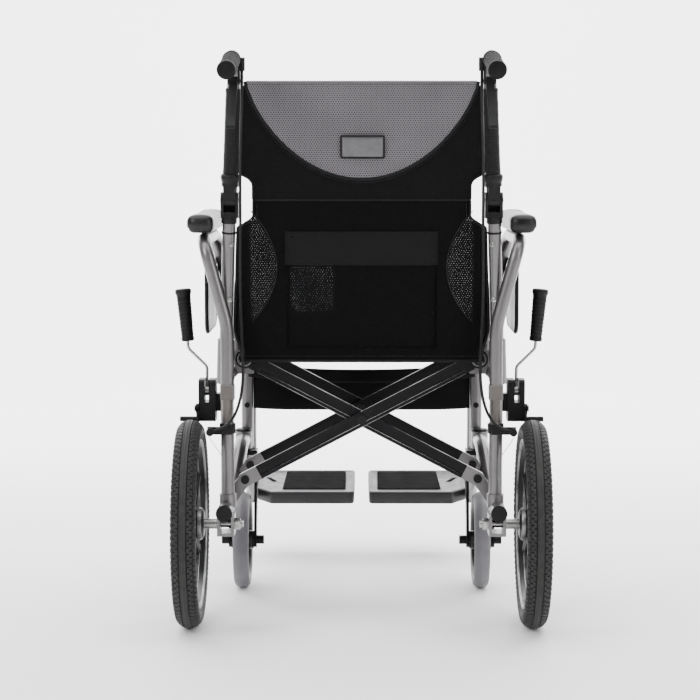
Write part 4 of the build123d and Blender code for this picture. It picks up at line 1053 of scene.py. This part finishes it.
def seat():
    """The sling seat: nearly flat between the rails, with a sleeve round each of them and a hem at each end."""
    rear_y, front_y, over = 48, 437, 15.4

    def sling_z(x):
        return SEAT_RAIL_Z + over - 7.0 * (1 - (x / PIVOT_X) ** 2)

    xs = list(np.linspace(-PIVOT_X, PIVOT_X, 84))
    runs = np.cumsum([0.0] + [hypot(b - a, sling_z(b) - sling_z(a)) for a, b in zip(xs, xs[1:])])

    def place(i, y):
        x = xs[i]
        ripple = (0.9 * sin(x * 0.03 + y * 0.012) + 0.7 * sin(y * 0.045 - x * 0.01)) \
            * exp(-(abs(x) / 180) ** 6)
        return at(x, y, sling_z(x) + ripple), (runs[i] / 1000, y / 1000)

    ob = sheet_of("seat_cloth", range(len(xs)), np.linspace(rear_y, front_y, 80), place, 0.0026, "nylon")
    gather(ob, "seat")
    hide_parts("seat_sling")
    for name, s, body in (("left", -1, "brace_b"), ("right", 1, "brace_a")):
        prof = [(13.0, 0), (15.6, 0.2), (16.1, 2), (15.9, 6)]
        prof += [(15.5 + 0.16 * sin(h * 0.11 + s), h) for h in np.linspace(12, 377, 40)]
        prof += [(15.9, 383), (16.1, 387), (15.6, 388.8), (13.0, 389)]
        sleeve_ob = lathe(f"{name}_seat_sleeve", prof, at(s * PIVOT_X, rear_y, SEAT_RAIL_Z), (0, 1, 0), "nylon",
                          48, 50)
        settle(sleeve_ob, body)
    for i, y in enumerate((56, 430)):
        pts = [at(x, y, sling_z(x) + 2.2) for x in np.linspace(-190, 190, 30)]
        gather(tube(f"seat_hem_{i}", pts, 0.0022, "webbing", ring=10, per=4, flat=0.6), "seat")


seat()


def strap(name, x_end, z_mid, height, y, sag, thickness, material, rows):
    """A band across the chair between the side frames."""
    def place(x, h):
        share = x / x_end
        wave = 1.4 * sin(x * 0.035 + h * 0.05) * (1 - share ** 8)
        z = z_mid + h * (1 - 0.10 * share ** 6) - sag * (1 - share ** 2)
        return at(x, y + wave + 2.0 * sin(h * 0.06), z), (x / 1000, h / 1000)

    ob = sheet_of(name, np.linspace(-x_end, x_end, 60), np.linspace(-height / 2, height / 2, rows), place,
                  thickness, material)
    return gather(ob, "left_frame")


calf = strap("calf_cloth", 199.5, 354, 70, 395, 0, 0.0026, "nylon", 16)
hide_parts("calf_strap")
thin = strap("rear_strap", 206, 398, 24, 330, 10, 0.002, "webbing", 8)


def badge():
    """A plain name-plate with nothing on it: a brushed plate in a dark frame."""
    x0, z0, w, h = 1.3, 801.0, 35.5, 17.8
    y = min(surface_y(x, z) for x in (-35, 0, 35) for z in (785, 801, 818)) - 0.6
    rows = [[at(x + x0, y - dz * LEAN, z0 + dz) for dz in np.linspace(-h, h, 10)]
            for x in np.linspace(-w, w, 16)]
    folded(slab("badge", rows, 0.0016, "badge"), "left_upper_back")
    pts = [at(x + x0, y - 0.9 - dz * LEAN, z0 + dz) for x, dz in corner_loop(w, h, 2.5, 4)]
    folded(tube("badge_frame", pts, 0.0011, "plastic", ring=8, smooth_path=False), "left_upper_back")


badge()


def brace_edge_highlights():
    """Bright lines along the edges of the four brace arms: painted highlights."""
    low, rise = Vector((PIVOT_X, PIVOT_Z)), Vector((-2 * PIVOT_X, SEAT_RAIL_Z - PIVOT_Z))
    d = rise.normalized()
    across = Vector((-d.y, d.x))
    for body, sign, first_y in (("brace_a", -1, 48.6), ("brace_b", 1, 60.6)):
        for row, pitch in enumerate((0, 170)):
            for e, off in enumerate((11.7, 6.0)):
                ends = [low + d * q + across * off for q in (30, rise.length - 30)]
                line = tube(f"{body}_edge_{row}_{e}", [at(sign * p.x, first_y + pitch, p.y) for p in ends],
                            0.00042, "zinc", ring=6, smooth_path=False)
                settle(line, body)


# the bright lines on the brace's edges are painted highlights
brace_edge_highlights()


def screws(side, s):
    """Pan-head screws that hold the cover to the canes."""
    profile = [(4.6, 0), (4.8, 0.8), (4.2, 2.0), (2.6, 2.7), (1.2, 2.8), (1.1, 1.9), (0.01, 1.9)]
    for i, z in enumerate((640, 548, 462)):
        ob = lathe(f"{side}_cover_screw_{i}", profile, at(s * (cane_x(z) - 5.0), back_y(z) - 10.2, z),
                   (-s * 0.45, -0.9, 0), "zinc", 24, 35)
        settle(ob, side + "_frame")


for side, s in SIDES:
    screws(side, s)


# ---- camera, light and floor
CAMERA_BEHIND, CAMERA_HEIGHT = 3.5, 0.783           # metres behind the rear axle and over the floor
CAMERA_DOWN, CAMERA_TURN = 5.18, 0.316              # degrees
camera = bpy.data.objects.new("camera", bpy.data.cameras.new("camera"))
camera.data.lens = 108.93
camera.data.sensor_width = 36
camera.data.clip_end = 60
camera.location = (0, Y0 - CAMERA_BEHIND, CAMERA_HEIGHT)
camera.rotation_euler = (radians(90 - CAMERA_DOWN), 0, radians(CAMERA_TURN))
bpy.context.scene.collection.objects.link(camera)
bpy.context.scene.camera = camera


def light(name, place, target, size, power):
    data = bpy.data.lights.new(name, "AREA")
    data.shape = "RECTANGLE"
    data.size, data.size_y = size
    data.energy = power
    ob = bpy.data.objects.new(name, data)
    ob.location = place
    ob.rotation_euler = (Vector(target) - Vector(place)).to_track_quat("-Z", "Y").to_euler()
    bpy.context.scene.collection.objects.link(ob)


for row in (("key", (-2.6, -2.8, 2.6), (0, 0, 0.5), (1.3, 1.6), 85),
            ("fill", (2.8, -2.4, 1.6), (0, 0, 0.5), (1.0, 1.8), 40),
            ("top", (0, 1.0, 4.4), (0, 1.0, 0), (7, 7), 620),
            ("back_left", (-2.2, 2.4, 1.4), (0, 0, 0.5), (0.8, 2.0), 50),
            ("back_right", (2.2, 2.4, 1.4), (0, 0, 0.5), (0.8, 2.0), 50),
            ("sweep", (0, 2.6, 4.2), (0, 6.4, 1.6), (7, 1.5), 900)):
    light(*row)

world = bpy.data.worlds.new("studio")
world.use_nodes = True
world.node_tree.nodes["Background"].inputs[0].default_value = (1, 1, 1, 1)
world.node_tree.nodes["Background"].inputs[1].default_value = 0.5
bpy.context.scene.world = world

M["floor"] = plain("floor", (0.93, 0.93, 0.93), 0.6, dict(spec=0.2), (3, (0.915, 0.915, 0.915), 0.4, 0.05), [])
bend_y, bend_r = 3.6, 2.8
sweep = [(-10, 0), (bend_y, 0)]
sweep += [(bend_y + bend_r * sin(t), bend_r - bend_r * cos(t)) for t in np.linspace(0.1, pi / 2, 16)]
sweep += [(bend_y + bend_r, 6.0)]
floor = finish_mesh("floor", [(x, y, z) for y, z in sweep for x in (-9, 9)],
                    [(2 * i, 2 * i + 1, 2 * i + 3, 2 * i + 2) for i in range(len(sweep) - 1)], "floor")
